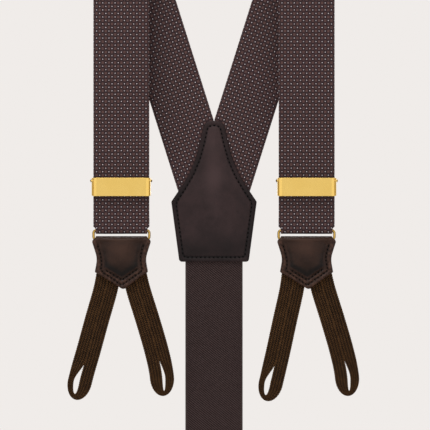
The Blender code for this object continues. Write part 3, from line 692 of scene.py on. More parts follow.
def make_loop(place, name, route):
    """A loop of flat braid: strands woven over and under each other, over a core that the braid material
    paints in shade.
    """
    top = tab_top(place)
    centre, half, run = loop_band(route, top)
    width = 2.0 * np.linalg.norm(half, axis=1)
    squeeze = np.clip(width / (7.0 * MM), 0.5, 1.05)
    points, faces, cloth, painted_column_light = [], [], [], []
    for index in range(BRAID_STRANDS):
        flat, lift, offset = strand_path(centre, half, run, index)
        # Tone 1 along the braid's columns and 0 between them, where the braid material paints shade; the core
        # gets 0 and is painted dark all over.
        painted_column_light += list(np.repeat(np.abs(np.cos(BRAID_COLUMNS * math.pi / 2.0 * offset)), STRAND_SIDES))
        more_points, more_cloth = strand_rings(flat, lift, top.y, squeeze, run, index)
        faces += tube_faces(len(flat), STRAND_SIDES, len(points))
        points += more_points
        cloth += more_cloth
    core = []
    for spot, reach in zip(centre, half):
        for across, deep in CORE_SECTION:
            x, z = spot + reach * across
            core.append((x, top.y + deep * MM, z))
    faces += tube_faces(len(centre), len(CORE_SECTION), len(points))
    points += core
    cloth += [(0.0, 0.0, 0.0)] * len(core)
    painted_column_light += [0.0] * len(core)
    loop = make_mesh(f"loop_braid_{place}_{name}", points, faces, BRAID, cloth)
    set_tone(loop, painted_column_light)
    path = [(x, top.y, z) for x, z in centre[::6]]
    path.append((centre[-1][0], top.y, centre[-1][1]))
    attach(loop, f"loop_{place}_{name}")
    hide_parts(f"button_loop_{place}_{name}")
    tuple(path[0])


# ---------------------------------------------------------------- ribbons


def section(half, thick, columns, edge_steps=4):
    """Closed cross-section of a ribbon with round edges: (across, outward) pairs."""
    radius = thick / 2.0
    inner = half - radius
    face = [(mix(-inner, inner, i / columns), radius) for i in range(columns + 1)]
    angles = [math.pi * i / edge_steps for i in range(1, edge_steps)]
    edge = [(inner + radius * math.sin(a), radius * math.cos(a)) for a in angles]
    return face + edge + [(-a, -b) for a, b in face + edge]


def lengths_along(rows, start=0.0):
    total = [start]
    for low, high in zip(rows, rows[1:]):
        total.append(total[-1] + (high.point - low.point).length)
    return total


def ribbon(name, rows, thick, material, offset=0.0, inset=0.0, wave=0.0, start=0.0, columns=24):
    """A closed ribbon along rows. wave is how far it undulates out of its plane."""
    points, cloth = [], []
    lengths = lengths_along(rows, start)
    for row, length in zip(rows, lengths):
        outline = section(row.half - inset, thick, columns)
        for across, out in outline:
            drift = wave * noise.noise(Vector((across * 45.0, length * 22.0, 3.1)))
            points.append(row.point + row.across * across + row.outward * (out + offset + drift))
            cloth.append((across / MM, length / MM, out / MM))
    faces = tube_faces(len(rows), len(outline))
    return make_mesh(name, points, faces, material, cloth)


def straight_row(x, y, z, half, outward=TO_VIEWER):
    return Row(Vector((x, y, z)), ACROSS_X, outward, half)


def bar_rows(centre, radius, half, start, end, steps):
    """Rows round a bar along X; an angle of 0 faces the viewer and 90 degrees is on top."""
    rows = []
    for step in range(steps + 1):
        angle = mix(start, end, step / steps)
        outward = Vector((0.0, -math.cos(angle), math.sin(angle)))
        rows.append(Row(centre + outward * radius, ACROSS_X, outward, half))
    return rows


NARROW_BELOW = 1.1 * MM
NARROWING = 1.2 * MM
FOLD_HEIGHTS = (4.6, 3.4, 2.8, 2.2, 1.7, 1.2, 0.6)
FOLD_STEPS = 20
TURN_STEPS = 64
BACK_STEPS = 110


def fold_rows(x, y, bar_z, radius, wide, narrow, back_top):
    """From back_top behind the ring's bar down and round it, and up a little in front.

    The strap narrows at the bar, so that the ring's sides swing clear of it.
    """
    heights = [bar_z + h * MM for h in FOLD_HEIGHTS]
    widths = [mix(narrow, wide, smooth((z - bar_z - NARROW_BELOW) / NARROWING)) for z in heights]
    behind = [(mix(back_top, heights[0], i / 4), wide) for i in range(4)] + list(zip(heights, widths))
    rows = [straight_row(x, y + radius, z, half, -TO_VIEWER) for z, half in behind if z <= back_top]
    rows += bar_rows(Vector((x, y, bar_z)), radius, narrow, -math.pi, 0.0, FOLD_STEPS)
    rows += [straight_row(x, y - radius, z, half) for z, half in reversed(list(zip(heights, widths)))]
    return rows


def front_rows():
    """The front run of the right strap, from the ring's fold up its quarter twist to the peg."""
    radius = RING_Y - FRONT_Y
    rows = fold_rows(FRONT_X, RING_Y, UPPER_BAR_Z, radius, STRAP_HALF, FOLD_HALF, LEG_TOP_Z)
    low = rows[-1].point.z
    straight = round((TWIST_START_Z - low) / (3.0 * MM))
    rows += [straight_row(FRONT_X, FRONT_Y, mix(low, TWIST_START_Z, i / straight), STRAP_HALF)
             for i in range(1, straight)]
    for step in range(TURN_STEPS + 1):
        part = smooth(step / TURN_STEPS)
        turn = part * math.radians(90.0)
        centre = Vector((FRONT_X, FRONT_Y * (1.0 - part), mix(TWIST_START_Z, 0.0, step / TURN_STEPS)))
        across = Vector((math.cos(turn), -math.sin(turn), 0.0))
        outward = Vector((-math.sin(turn), -math.cos(turn), 0.0))
        rows.append(Row(centre, across, outward, STRAP_HALF))
    return rows


def shoulder_rows():
    """The turn over the peg, past half a circle by the lean of the back strap."""
    rows = []
    for step in range(1, TURN_STEPS + 1):
        angle = math.pi - (math.pi + BACK_LEAN) * step / TURN_STEPS
        outward = Vector((math.cos(angle), 0.0, math.sin(angle)))
        centre = Vector((FRONT_X + SHOULDER_RADIUS, 0.0, 0.0)) + outward * SHOULDER_RADIUS
        rows.append(Row(centre, TO_VIEWER, outward, STRAP_HALF))
    return rows


def back_row(z):
    """A row of the back run, which turns a quarter back to flat and goes straight down to the patch."""
    side = Vector((math.cos(BACK_LEAN), 0.0, -math.sin(BACK_LEAN)))
    turn = smooth((ARC_END_Z - z) / (ARC_END_Z - BACK_TWIST_END_Z)) * math.radians(90.0)
    x = STRAP_X_AT_TIP + (z - TIP_Z) * math.tan(BACK_LEAN)
    y = BACK_Y * smooth((ARC_END_Z - z) / (ARC_END_Z - TIP_Z))
    outward = side * math.cos(turn) + TO_VIEWER * math.sin(turn)
    across = TO_VIEWER * math.cos(turn) - side * math.sin(turn)
    return Row(Vector((x, y, z)), across, outward, STRAP_HALF)


def back_rows():
    end = STRAP_CUT_Z - 2.0 * STRAP_HALF
    return [back_row(mix(ARC_END_Z, end, i / BACK_STEPS)) for i in range(1, BACK_STEPS + 1)]


def mirror_rows(rows, side):
    flip = Vector((side, 1.0, 1.0))
    return [Row(r.point * flip, r.across * flip, r.outward * flip, r.half) for r in rows]


def trim(item, point, normal):
    """Removes what lies on the side of a plane that its normal points to."""
    shape = bmesh.new()
    shape.from_mesh(item.data)
    geometry = list(shape.verts) + list(shape.edges) + list(shape.faces)
    bmesh.ops.bisect_plane(shape, geom=geometry, plane_co=point, plane_no=normal, clear_outer=True)
    shape.to_mesh(item.data)
    shape.free()


SILK_THICK = 0.95 * MM
SILK_OFFSET = 0.12 * MM
LINING_THICK = 0.34 * MM
LINING_OFFSET = -0.43 * MM
LINING_INSET = 2.2 * MM
WAVE = 0.13 * MM


def flat_size(rows):
    return 2.0 * max(r.half for r in rows), lengths_along(rows)[-1]


def strap_piece(name, rows, slot_name, start=0.0):
    """One ribbon of silk or lining."""
    if slot_name == "silk":
        item = ribbon(name, rows, SILK_THICK, SILK, SILK_OFFSET, 0.0, WAVE, start)
    else:
        item = ribbon(name, rows, LINING_THICK, LINING, LINING_OFFSET, LINING_INSET, WAVE, start, 12)
    return item


def hang(item, rows, *rests_on):
    width, length = flat_size(rows)


def make_strap(side_name, side):
    """One strap as worn on its peg: front run, back run, return run to the adjuster, and the hem on it."""
    over = front_rows() + shoulder_rows()
    apex = max(range(len(over)), key=lambda i: over[i].point.z)
    front = mirror_rows(over[:apex + 1], side)
    back = mirror_rows(over[apex:] + back_rows(), side)
    start = lengths_along(front)[-1]
    x = side * FRONT_X
    for layer in ("silk", "lining"):
        item = strap_piece(f"{layer}_front_{side_name}", front, layer)
        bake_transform(item)
        hang(item, front, "ring_" + side_name)
        if layer == "silk":
            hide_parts("strap_lower_" + side_name, "strap_fold_" + side_name)
        item = strap_piece(f"{layer}_back_{side_name}", back, layer, start)
        trim(item, Vector((side * 0.15 * MM, 0.0, 0.0)), Vector((-side, 0.0, 0.0)))
        trim(item, Vector((0.0, 0.0, STRAP_CUT_Z)), Vector((0.0, 0.0, -1.0)))
        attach(item, "root")
        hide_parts(f"strap_{layer}_{side_name}")
        hang(item, back, "patch_front")
    make_return(side_name, x)
    make_hem(side_name, x)


def make_return(side_name, x):
    """The strap's end run, from the fold up to the adjuster's crossbar."""
    low_z = LEG_TOP_Z
    low_y = 2.0 * RING_Y - FRONT_Y
    high_z = span("strap_hem_" + side_name, 2)[0]
    high_y = middle("strap_return_" + side_name, 1)
    rows = [straight_row(x, mix(low_y, high_y, smooth(i / 8)), mix(low_z, high_z, i / 8),
                         mix(STRAP_HALF, HEM_HALF, i / 8), -TO_VIEWER) for i in range(9)]
    rows.reverse()
    for layer in ("silk", "lining"):
        item = strap_piece(f"{layer}_return_{side_name}", rows, layer)
        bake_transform(item)
        hang(item, rows, "ring_" + side_name)
        if layer == "silk":
            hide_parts("strap_return_" + side_name)


HEM_START, HEM_END = math.radians(-82.0), math.radians(262.0)
HEM_STEPS = 48


def make_hem(side_name, x):
    """The strap's end, wrapped round the crossbar and sewn."""
    node = "strap_hem_" + side_name
    centre = Vector((x, middle(node, 1), middle(node, 2)))
    radius = size(node, 1) / 2.0 - STRAP_THICK / 2.0
    rows = bar_rows(centre, radius, HEM_HALF, HEM_START, HEM_END, HEM_STEPS)
    item = ribbon("silk_hem_" + side_name, rows, SILK_THICK, SILK, SILK_OFFSET)
    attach(item, "adjuster_" + side_name)
    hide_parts(node)
    hang(item, rows, "frame_" + side_name)
    y = span(node, 1)[1]
    line = line_across(x, centre.z - 0.6 * MM, 0.93 * HEM_HALF)
    seam = stitches("hem_stitches_" + side_name, line, 1.9 * MM, flat_at(y), -1.0, 0.14 * MM)
    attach(seam, "adjuster_" + side_name)


# ---------------------------------------------------------------- stitches


STITCH_FILL = 0.55
STITCH_STEPS = 6
STITCH_SIDES = 6


def stitch_ends(line, pitch, closed=False):
    """Start and end of each stitch along a line."""
    spots = evenly(line, pitch, closed)
    nexts = np.roll(spots, -1, axis=0) if closed else spots[1:]
    spots = spots if closed else spots[:-1]
    gap = (1.0 - STITCH_FILL) / 2.0
    return [(a + (b - a) * gap, b - (b - a) * gap) for a, b in zip(spots, nexts)]


def flat_at(y):
    """A flat surface to sew on, as stitches() takes it."""
    return lambda points: np.full(len(points), y)


def line_across(x, z, half):
    """A straight line to sew along, from one side of a strap to the other."""
    return [(x + mix(-half, half, i / 20), z) for i in range(21)]


def hole_places(lines, pitch, closed):
    """Both ends of every stitch, where the needle went through."""
    return np.array([end for line in lines for pair in stitch_ends(line, pitch, closed) for end in pair])


def stitches(name, line, pitch, surface, towards, radius, closed=False):
    """A row of separate stitches that stand a little proud of a surface and dive into it at both ends.

    surface gives the y of points on it; towards is 1 on the viewer's side and -1 behind.
    """
    points, faces, cloth = [], [], []
    for a, b in stitch_ends(line, pitch, closed):
        places = np.array([a + (b - a) * i / STITCH_STEPS for i in range(STITCH_STEPS + 1)])
        depths = surface(places)
        direction = (b - a) / np.linalg.norm(b - a)
        normal = np.array([-direction[1], direction[0]])
        faces += tube_faces(STITCH_STEPS + 1, STITCH_SIDES, len(points))
        for i, (spot, depth) in enumerate(zip(places, depths)):
            part = i / STITCH_STEPS
            arch = math.sin(math.pi * part)
            thick = radius * mix(0.45, 1.0, math.sqrt(arch))
            lift = radius * mix(-0.7, 0.45, arch ** 0.6)
            for wide, deep in circle(STITCH_SIDES):
                x, z = spot + normal * thick * wide
                points.append((x, depth - towards * (lift + thick * deep), z))
                cloth.append((thick * wide / MM, part * 2.5, 0.0))
    return make_mesh(name, points, faces, THREAD, cloth)


# ---------------------------------------------------------------- leather


def inset_line(outline, distance):
    """A closed line that far inside an outline, without the points that fall too near to it."""
    line = evenly(outline, 0.4 * MM)
    normal = normals(np.roll(line, -1, axis=0) - np.roll(line, 1, axis=0))
    x, z = line[:, 0], line[:, 1]
    turned = np.sum(x * np.roll(z, -1) - np.roll(x, -1) * z)
    moved = line + normal * distance * (1.0 if turned > 0.0 else -1.0)
    return moved[distance_to_line(moved, line, True) > distance * 0.96]


def fill_points(outline, grid):
    """Rings just inside an outline and a triangular grid in the rest of it."""
    line = evenly(outline, grid * 0.8)
    layers = [line]
    for distance in (0.18 * MM, 0.42 * MM, 0.8 * MM):
        layers.append(evenly(inset_line(outline, distance), grid * 0.8))
    low, high = line.min(0), line.max(0)
    rows = int((high[1] - low[1]) / (grid * 0.866)) + 1
    columns = int((high[0] - low[0]) / grid) + 1
    spots = [(low[0] + (c + 0.5 * (r % 2)) * grid, low[1] + r * grid * 0.866)
             for r in range(rows + 1) for c in range(columns + 1)]
    spots = np.array(spots)
    spots = spots[inside(spots, line)]
    layers.append(spots[distance_to_line(spots, line, True) > 1.25 * MM])
    return line, np.vstack(layers)


def leather_body(name, outline, front, back, material, grid=0.7 * MM, tone=None):
    """A leather body between two surfaces over one outline.

    front and back give y, and tone the painted shade and highlights, from points and their distance to the
    edge.
    """
    line, spots = fill_points(outline, grid)
    count = len(line)
    edges = [(i, (i + 1) % count) for i in range(count)]
    flat = [Vector(p) * 1000.0 for p in spots]
    corners, _, faces, origins, _, _ = delaunay_2d_cdt(flat, edges, [], 1, 1e-7)
    spots = np.array([tuple(c) for c in corners]) / 1000.0
    place = {source: index for index, sources in enumerate(origins) for source in sources}
    rim = [place[i] for i in range(count)]
    distance = distance_to_line(spots, line, True)
    front_y, back_y = front(spots, distance), back(spots, distance)
    total = len(spots)
    points = [(x, y, z) for (x, z), y in zip(spots, front_y)]
    points += [(x, y, z) for (x, z), y in zip(spots, back_y)]
    worn = np.exp(-(distance / (0.5 * MM)) ** 2)
    cloth = [(x / MM, z / MM, w) for (x, z), w in zip(spots, worn)] * 2
    bodies = list(faces) + [tuple(total + v for v in reversed(face)) for face in faces]
    for a, b in zip(rim, rim[1:] + rim[:1]):
        bodies.append((a, b, total + b, total + a))
    item = make_mesh(name, points, bodies, material, cloth)
    if tone is not None:
        set_tone(item, np.tile(tone(spots, distance), 2))
    return item


def ripple(points, scale, seed):
    return np.array([noise.noise(Vector((x * scale, z * scale, seed))) for x, z in points])


def nearest(points, spots):
    """Distance from each point to the nearest of the spots."""
    return np.linalg.norm(points[:, None, :] - spots[None], axis=2).min(1)


def rolled(distance, radius):
    """Drop of a rounded rim of that radius."""
    t = np.clip(1.0 - distance / radius, 0.0, 1.0)
    return radius * (1.0 - np.sqrt(np.maximum(1.0 - t * t, 0.0)))


PATCH_CORNERS = ((6.2, 0.0, 5.6), (12.4, -29.6, 80.0), (27.6, -52.2, 1.6), (22.4, -91.0, 2.0))
PATCH_STITCH_INSET = 3.0 * MM
PATCH_STITCH_PITCH = 2.75 * MM


class SewnLeathers:
    """A front and a back leather, sewn together along lines. Their depths come from their CAD nodes."""

    def __init__(self, front_node, back_node, lines, pitch, closed):
        self.lines = [(line, closed) for line in lines]
        self.holes = hole_places(lines, pitch, closed)
        self.face_y, self.under_y = span(front_node, 1)
        self.back_under, self.back_face = span(back_node, 1)

    def sewn(self, points, groove, dimple):
        """How deep the stitching presses into the leather."""
        near = np.minimum.reduce([distance_to_line(points, *line) for line in self.lines])
        gap = nearest(points, self.holes)
        return groove * np.exp(-(near / (0.75 * MM)) ** 2) + dimple * np.exp(-(gap / (0.5 * MM)) ** 2)

    def seam_tone(self, points, shine, width):
        """Lighter along the stitching, with painted shade in its holes."""
        near = np.minimum.reduce([distance_to_line(points, *line) for line in self.lines])
        dark = 1.1 * np.exp(-(nearest(points, self.holes) / (0.6 * MM)) ** 2)
        return shine * np.exp(-(near / width) ** 2) - dark


class PatchShape(SewnLeathers):
    """The patch's surfaces: each gives y, from points (x, z) and their distance to the edge."""

    def __init__(self, line):
        super().__init__("patch_front_leather", "patch_back_leather", [line], PATCH_STITCH_PITCH, True)

    def front(self, points, distance):
        raised = 0.55 * MM * smooth_array((distance - 3.2 * MM) / (7.0 * MM))
        height = raised + 0.10 * MM * ripple(points, 70.0, 1.0) - self.sewn(points, 0.32 * MM, 0.28 * MM)
        return self.face_y - height + rolled(distance, 1.1 * MM)

    def under(self, _, distance):
        return mix(self.under_y, BACK_Y, 1.0 - smooth_array(distance / (2.2 * MM)))

    def back_inner(self, _, distance):
        return mix(self.back_under, BACK_Y + 0.02 * MM, 1.0 - smooth_array(distance / (2.2 * MM)))

    def back_outer(self, points, distance):
        rippled = 0.05 * MM * ripple(points, 90.0, 5.0) - self.sewn(points, 0.2 * MM, 0.2 * MM)
        return self.back_face + rippled - rolled(distance, 0.9 * MM)

    def tone(self, points, distance):
        """Painted shade at the rim and in the holes, darker towards the foot, a painted highlight down the
        middle, and lighter along the seam.
        """
        below = TIP_Z - points[:, 1]
        # Painted shade where the pillowed face falls away to the rim; the foot is only made darker towards
        # the bottom.
        rim = -0.62 * (1.0 - smooth_array((distance - 1.8 * MM) / (2.6 * MM)))
        foot = -0.55 * smooth_array((below - 66.0 * MM) / (16.0 * MM))
        # Painted highlight down the middle of the pillowed face.
        ridge = 0.42 * np.exp(-(points[:, 0] / (6.5 * MM)) ** 2)
        ridge = ridge * smooth_array((74.0 * MM - below) / (30.0 * MM))
        seam = self.seam_tone(points, 0.25, 1.2 * MM)
        return np.minimum(rim, foot) + ridge + seam + 0.35 * ripple(points, 55.0, 9.0)


def make_patch():
    """The back patch: two leathers sewn together round the straps and the elastic."""
    outline = [p + Vector((0.0, TIP_Z)) for p in rounded_outline(mirrored(PATCH_CORNERS))]
    line = inset_line(outline, PATCH_STITCH_INSET)
    shape = PatchShape(line)
    face = leather_body("patch_front", outline, shape.front, shape.under, PATCH_LEATHER, tone=shape.tone)
    rear = leather_body("patch_back", outline, shape.back_inner, shape.back_outer, BACKING, 1.0 * MM)
    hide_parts("patch_front_leather", "patch_interlining")
    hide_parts("patch_back_leather")
    pieces = [(face, "leather"), (rear, "backing")]
    for mark, surface, towards, slot_name in (("front", shape.front, 1.0, "leather"),
                                              ("back", shape.back_outer, -1.0, "backing")):
        def at_seam(points, surface=surface):
            return surface(points, np.full(len(points), PATCH_STITCH_INSET))

        seam = stitches("patch_stitches_" + mark, line, PATCH_STITCH_PITCH, at_seam, towards, 0.46 * MM, True)
        pieces.append((seam, slot_name))
    for item, slot_name in pieces:
        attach(item, "root")


# ---------------------------------------------------------------- tabs

TAB_CORNERS_RIGHT = ((16.4, -1.2, 0.8), (19.0, -3.2, 2.2), (15.4, -14.6, 14.0), (17.0, -23.4, 0.9),
                     (15.0, -24.5, 0.4))
TAB_TIP = (1.3, -34.6, 2.4)
TAB_CORNERS_LEFT = tuple((-x, z, radius) for x, z, radius in reversed(TAB_CORNERS_RIGHT))
TAB_CORNERS = (*TAB_CORNERS_RIGHT, TAB_TIP, *TAB_CORNERS_LEFT)
TAB_OUTER_SEAM = ((-15.3, -5.7), (-13.9, -10.0), (-12.9, -14.0), (-12.5, -17.0), (-12.7, -20.0),
                  (-13.3, -22.4), (0.3, -31.7), (13.7, -22.4), (13.0, -19.7), (12.4, -16.6), (12.2, -13.6),
                  (13.1, -9.8), (14.3, -5.4))
TAB_INNER_SEAM = ((-10.2, -22.0), (0.5, -28.4), (10.5, -21.3))
TAB_SHIELD = ((-15.6, 3.0), (-13.9, -6.0), (-12.3, -12.0), (-11.6, -17.0), (-11.4, -20.2), (0.4, -27.2),
              (11.4, -20.0), (11.4, -16.6), (11.9, -12.0), (13.3, -6.0), (15.2, 3.0))
TAB_STITCH_PITCH = 2.4 * MM


def shifted(points, x, z):
    return np.array([(px * MM + x, pz * MM + z) for px, pz in points])


class TabShape(SewnLeathers):
    """One tab's surfaces: each gives y, from points (x, z) and their distance to the edge."""

    def __init__(self, place, top):
        self.top = top
        self.outer, self.inner, self.shield = [shifted(line, top.x, top.z)
                                               for line in (TAB_OUTER_SEAM, TAB_INNER_SEAM, TAB_SHIELD)]
        super().__init__("tab_front_" + place, "tab_back_" + place, [self.outer, self.inner],
                         TAB_STITCH_PITCH, False)

    def front(self, points, distance):
        depth = self.top.z - points[:, 1]
        domed = np.where(inside(points, self.shield), soft_distance(points, self.shield, 1.7 * MM), 0.0)
        dome = 2.5 * MM * np.clip(domed / (7.0 * MM), 0.0, 1.0) ** 0.62
        roll = 0.22 * MM * np.exp(-((depth - 2.6 * MM) / (0.9 * MM)) ** 2)
        pucker = 0.16 * MM * np.exp(-((distance - 1.3 * MM) / (0.9 * MM)) ** 2)
        height = dome + roll + pucker + 0.06 * MM * ripple(points, 190.0, 2.0)
        sewn = self.sewn(points, 0.55 * MM, 0.45 * MM)
        return self.face_y + 0.35 * MM - height + sewn + rolled(distance, 1.3 * MM)

    def gather(self, points, distance):
        """Share by which the leather's edge is drawn in to the loops, below the ring."""
        low = smooth_array((self.top.z - points[:, 1] - 4.6 * MM) / (3.0 * MM))
        return low * (1.0 - smooth_array(distance / (2.0 * MM)))

    def under(self, points, distance):
        return mix(self.under_y, self.top.y - 1.0 * MM, self.gather(points, distance))

    def back_inner(self, points, distance):
        return mix(self.back_under, self.top.y + 1.0 * MM, self.gather(points, distance))

    def back_outer(self, points, distance):
        sewn = self.sewn(points, 0.16 * MM, 0.16 * MM)
        return self.back_face + 0.04 * MM * ripple(points, 160.0, 7.0) - sewn - rolled(distance, 0.8 * MM)

    def tone(self, points, _):
        """Painted shade in the valley round the dome, on its lower part and at the holes; painted highlights
        on the dome, the lip and the puckers; lighter along the seams.
        """
        depth = (self.top.z - points[:, 1]) / MM
        across = (points[:, 0] - self.top.x) / MM
        from_shield = distance_to_line(points, self.shield, True) / MM
        from_shield *= np.where(inside(points, self.shield), 1.0, -1.0)
        # Painted shade in the valley round the dome and on its lower part (foot); painted highlights on the
        # dome (shine), the rolled lip and the puckers outside the seams.
        valley = -0.5 * np.exp(-((from_shield - 1.9) / 1.7) ** 2) * smooth_array((depth - 3.0) / 5.0)
        seam = self.seam_tone(points, 0.35, 1.1 * MM)
        shine = 0.50 * np.exp(-((across + 1.0) / 7.5) ** 2 - ((depth - 8.0) / 5.5) ** 2)
        lip = 0.30 * np.exp(-((depth - 2.6) / 1.2) ** 2)
        foot = -0.5 * smooth_array((depth - 13.0) / 9.0) * smooth_array(from_shield / 1.5)
        puckers = 1.1 * smooth_array((-from_shield - 1.2) / 1.0) * (0.30 + ripple(points, 560.0, 4.0))
        return valley + seam + shine + lip + foot + puckers


def make_tab(place):
    """A padded leather tab: domed face with two sewn rows, flat back, and the keeper on its ring."""
    top = tab_top(place)
    outline = [p + Vector((top.x, top.z)) for p in rounded_outline(TAB_CORNERS)]
    edge = np.array([tuple(p) for p in outline])
    shape = TabShape(place, top)
    face = leather_body("tab_face_" + place, outline, shape.front, shape.under, TAB_LEATHER, 0.5 * MM,
                        shape.tone)
    rear = leather_body("tab_rear_" + place, outline, shape.back_inner, shape.back_outer, BACKING, 0.8 * MM)
    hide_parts("tab_front_" + place, "tab_padding_" + place)
    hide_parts("tab_back_" + place)
    pieces = [(face, "tab_leather"), (rear, "backing")]
    for name, seam in (("outer", shape.outer), ("inner", shape.inner)):
        for mark, surface, towards, radius, slot_name in (
                ("", shape.front, 1.0, 0.43 * MM, "tab_leather"),
                ("back_", shape.back_outer, -1.0, 0.25 * MM, "backing")):
            def at_seam(points, surface=surface):
                return surface(points, distance_to_line(points, edge, True))

            row_name = f"tab_{name}_{mark}stitches_{place}"
            row = stitches(row_name, seam, TAB_STITCH_PITCH, at_seam, towards, radius)
            pieces.append((row, slot_name))
    pieces.append((make_welt(place, top, outline), "tab_leather"))
    pieces.append((make_keeper(place, top), "tab_leather"))
    for item, slot_name in pieces:
        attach(item, "tab_" + place)


WELT_TOP = -5.0 * MM
WELT_BOTTOM = -18.0 * MM
WELT_SECTION = ((0.5, -1.05), (0.7, 0.0), (0.5, 1.05), (-0.5, 1.05), (-0.5, -1.05))


def make_welt(place, top, outline):
    """Painted edges between the two leathers, down both flanks, ending clear of the loops."""
    points, faces, cloth = [], [], []
    line = inset_line(outline, 0.9 * MM)
    for side in (-1.0, 1.0):
        flank = [p for p in line
                 if (p[0] - top.x) * side > 10.0 * MM and WELT_BOTTOM < p[1] - top.z < WELT_TOP]
        flank.sort(key=lambda p: p[1])
        faces += tube_faces(len(flank), len(WELT_SECTION), len(points))
        for x, z in flank:
            for across, deep in WELT_SECTION:
                points.append((x + side * across * MM, top.y + deep * MM, z))
                cloth.append((deep, (z - top.z) / MM, 0.0))
    return make_mesh("tab_welt_" + place, points, faces, EDGE_PAINT, cloth)


KEEPER_STEPS = 24
KEEPER_THICK = 1.0 * MM


def make_keeper(place, top):
    """The leather turned over the ring's lower bar."""
    node = "tab_keeper_" + place
    low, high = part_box(node)
    radius = (high.y - low.y - KEEPER_THICK) / 2.0
    bar_z = high.z - KEEPER_THICK / 2.0 - radius
    half = (high.x - low.x) / 2.0
    rows = [straight_row(top.x, top.y - radius, mix(low.z, bar_z, i / 4), half) for i in range(4)]
    rows += bar_rows(Vector((top.x, top.y, bar_z)), radius, half, 0.0, math.pi, KEEPER_STEPS)
    rows += [straight_row(top.x, top.y + radius, mix(bar_z, low.z, i / 4), half, -TO_VIEWER)
             for i in range(1, 5)]
    item = ribbon("keeper_" + place, rows, KEEPER_THICK, TAB_LEATHER)
    no_rim(item)
    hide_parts(node)
    return item


def no_rim(item):
    """Clears the worn-edge mark, which the leather reads from the attribute's third value."""
    layer = item.data.attributes["cloth"].data
    values = np.zeros(len(layer) * 3, np.float32)
    layer.foreach_get("vector", values)
    values[2::3] = 0.0
    layer.foreach_set("vector", values)


# ---------------------------------------------------------------- elastic

ELASTIC_THICK = 1.4 * MM


def make_elastic():
    """The elastic, from inside the patch down round the rear ring and up behind to its sewn end."""
    half = size("elastic_strap", 0) / 2.0
    ring_y = middle("ring_rear", 1)
    bar_z = span("ring_rear", 2)[1] - WIRE_RADIUS
    top_z = span("elastic_strap", 2)[1]
    hem_top = span("elastic_hem", 2)[1]
    radius = ring_y - BACK_Y
    rows = fold_rows(0.0, ring_y, bar_z, radius, half, FOLD_HALF, hem_top - 2.0 * MM)
    low = rows[-1].point.z
    count = round((top_z - low) / (4.0 * MM))
    rows += [straight_row(0.0, BACK_Y, mix(low, top_z, i / count), half) for i in range(1, count + 1)]
    item = ribbon("elastic", rows, ELASTIC_THICK - 0.1 * MM, ELASTIC, 0.0, 0.0, 0.10 * MM)
    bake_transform(item)
    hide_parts("elastic_strap", "elastic_hem")
    hang(item, rows, "patch_front")
    front_y = BACK_Y - ELASTIC_THICK / 2.0
    back_y = ring_y + radius + ELASTIC_THICK / 2.0
    for number, drop in enumerate((5.0 * MM, 8.5 * MM)):
        line = line_across(0.0, hem_top - drop, 0.92 * half)
        for mark, y, towards in (("front", front_y, 1.0), ("back", back_y, -1.0)):
            name = f"hem_{mark}_stitches_{number}"
            seam = stitches(name, line, 2.4 * MM, flat_at(y), towards, 0.20 * MM)
            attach(seam, "elastic_end")


# ---------------------------------------------------------------- metal


def extruded(name, outline, low_z, high_z, bevel, x):
    """A prism over an outline in the XY plane, with its edges rounded."""
    count = len(outline)
    points = [(x + p.x, p.y, z) for z in (low_z, high_z) for p in outline]
    item = make_mesh(name, points, tube_faces(2, count), GOLD)
    rounding = item.modifiers.new("rounded_edges", "BEVEL")
    rounding.width = bevel
    rounding.segments = 4
    rounding.limit_method = "ANGLE"
    rounding.angle_limit = math.radians(40.0)
    rounding.harden_normals = True
    return item


SHARP = 0.2 * MM


def channel_outline(half, face_y, end_y, thick, corner):
    """Closed outline of a plate with both ends turned away from the viewer, as seen from above."""
    side = half - thick
    inner_y = face_y + thick
    inner_corner = max(corner - thick, SHARP)
    corners = ((-half, end_y, 0.0), (-half, face_y, corner), (half, face_y, corner), (half, end_y, 0.0),
               (side, end_y, 0.0), (side, inner_y, inner_corner), (-side, inner_y, inner_corner),
               (-side, end_y, 0.0))
    return rounded_outline(corners, 16, 1.0)


def winged_outline(half, face_y, thick, wing, drop):
    """Closed outline of a flat plate whose two ends lean back, as seen from above."""
    flat = half - wing
    end = half - 0.4 * thick
    back_y = face_y + thick
    corners = ((-half, face_y + drop, SHARP), (-flat, face_y, 1.6 * MM), (flat, face_y, 1.6 * MM),
               (half, face_y + drop, SHARP), (end, back_y + drop, SHARP), (flat, back_y, 0.8 * MM),
               (-flat, back_y, 0.8 * MM), (-end, back_y + drop, SHARP))
    return rounded_outline(corners, 16, 1.0)


def rod(name, x, y, z, half, radius, sides=32):
    """A round bar along X with rounded ends."""
    cap = radius * 0.3
    profile = [(-half, radius - cap)]
    profile += [(-half + cap * (1.0 - math.cos(a)), radius - cap + cap * math.sin(a))
                for a in (math.radians(30.0), math.radians(60.0), math.radians(90.0))]
    profile += [(-a, r) for a, r in reversed(profile)]
    points = [(x + a, y + r * deep, z + r * high) for a, r in profile for deep, high in circle(sides)]
    return make_mesh(name, points, tube_faces(len(profile), sides), GOLD)


def join(items):
    """Joins meshes into the first one, with their modifiers applied."""
    graph = bpy.context.evaluated_depsgraph_get()
    shape = bmesh.new()
    for item in items:
        shape.from_mesh(bpy.data.meshes.new_from_object(item.evaluated_get(graph)))
    first = items[0]
    first.modifiers.clear()
    shape.to_mesh(first.data)
    shape.free()
    first.data.shade_smooth()
    for item in items[1:]:
        bpy.data.objects.remove(item)
    return first


PLATE_WIDER = 1.25 * MM
PLATE_THICK = 0.8 * MM
WING_WIDTH = 2.1 * MM
WING_DROP = 1.1 * MM
FRAME_THICK = 0.6 * MM
FRAME_BACK_Y = -5.4 * MM
FRAME_CORNER = 1.1 * MM
LUG_HALF = 1.2 * MM
WIRE_SIDES = 20
WIRE_CORNER = 1.9 * MM


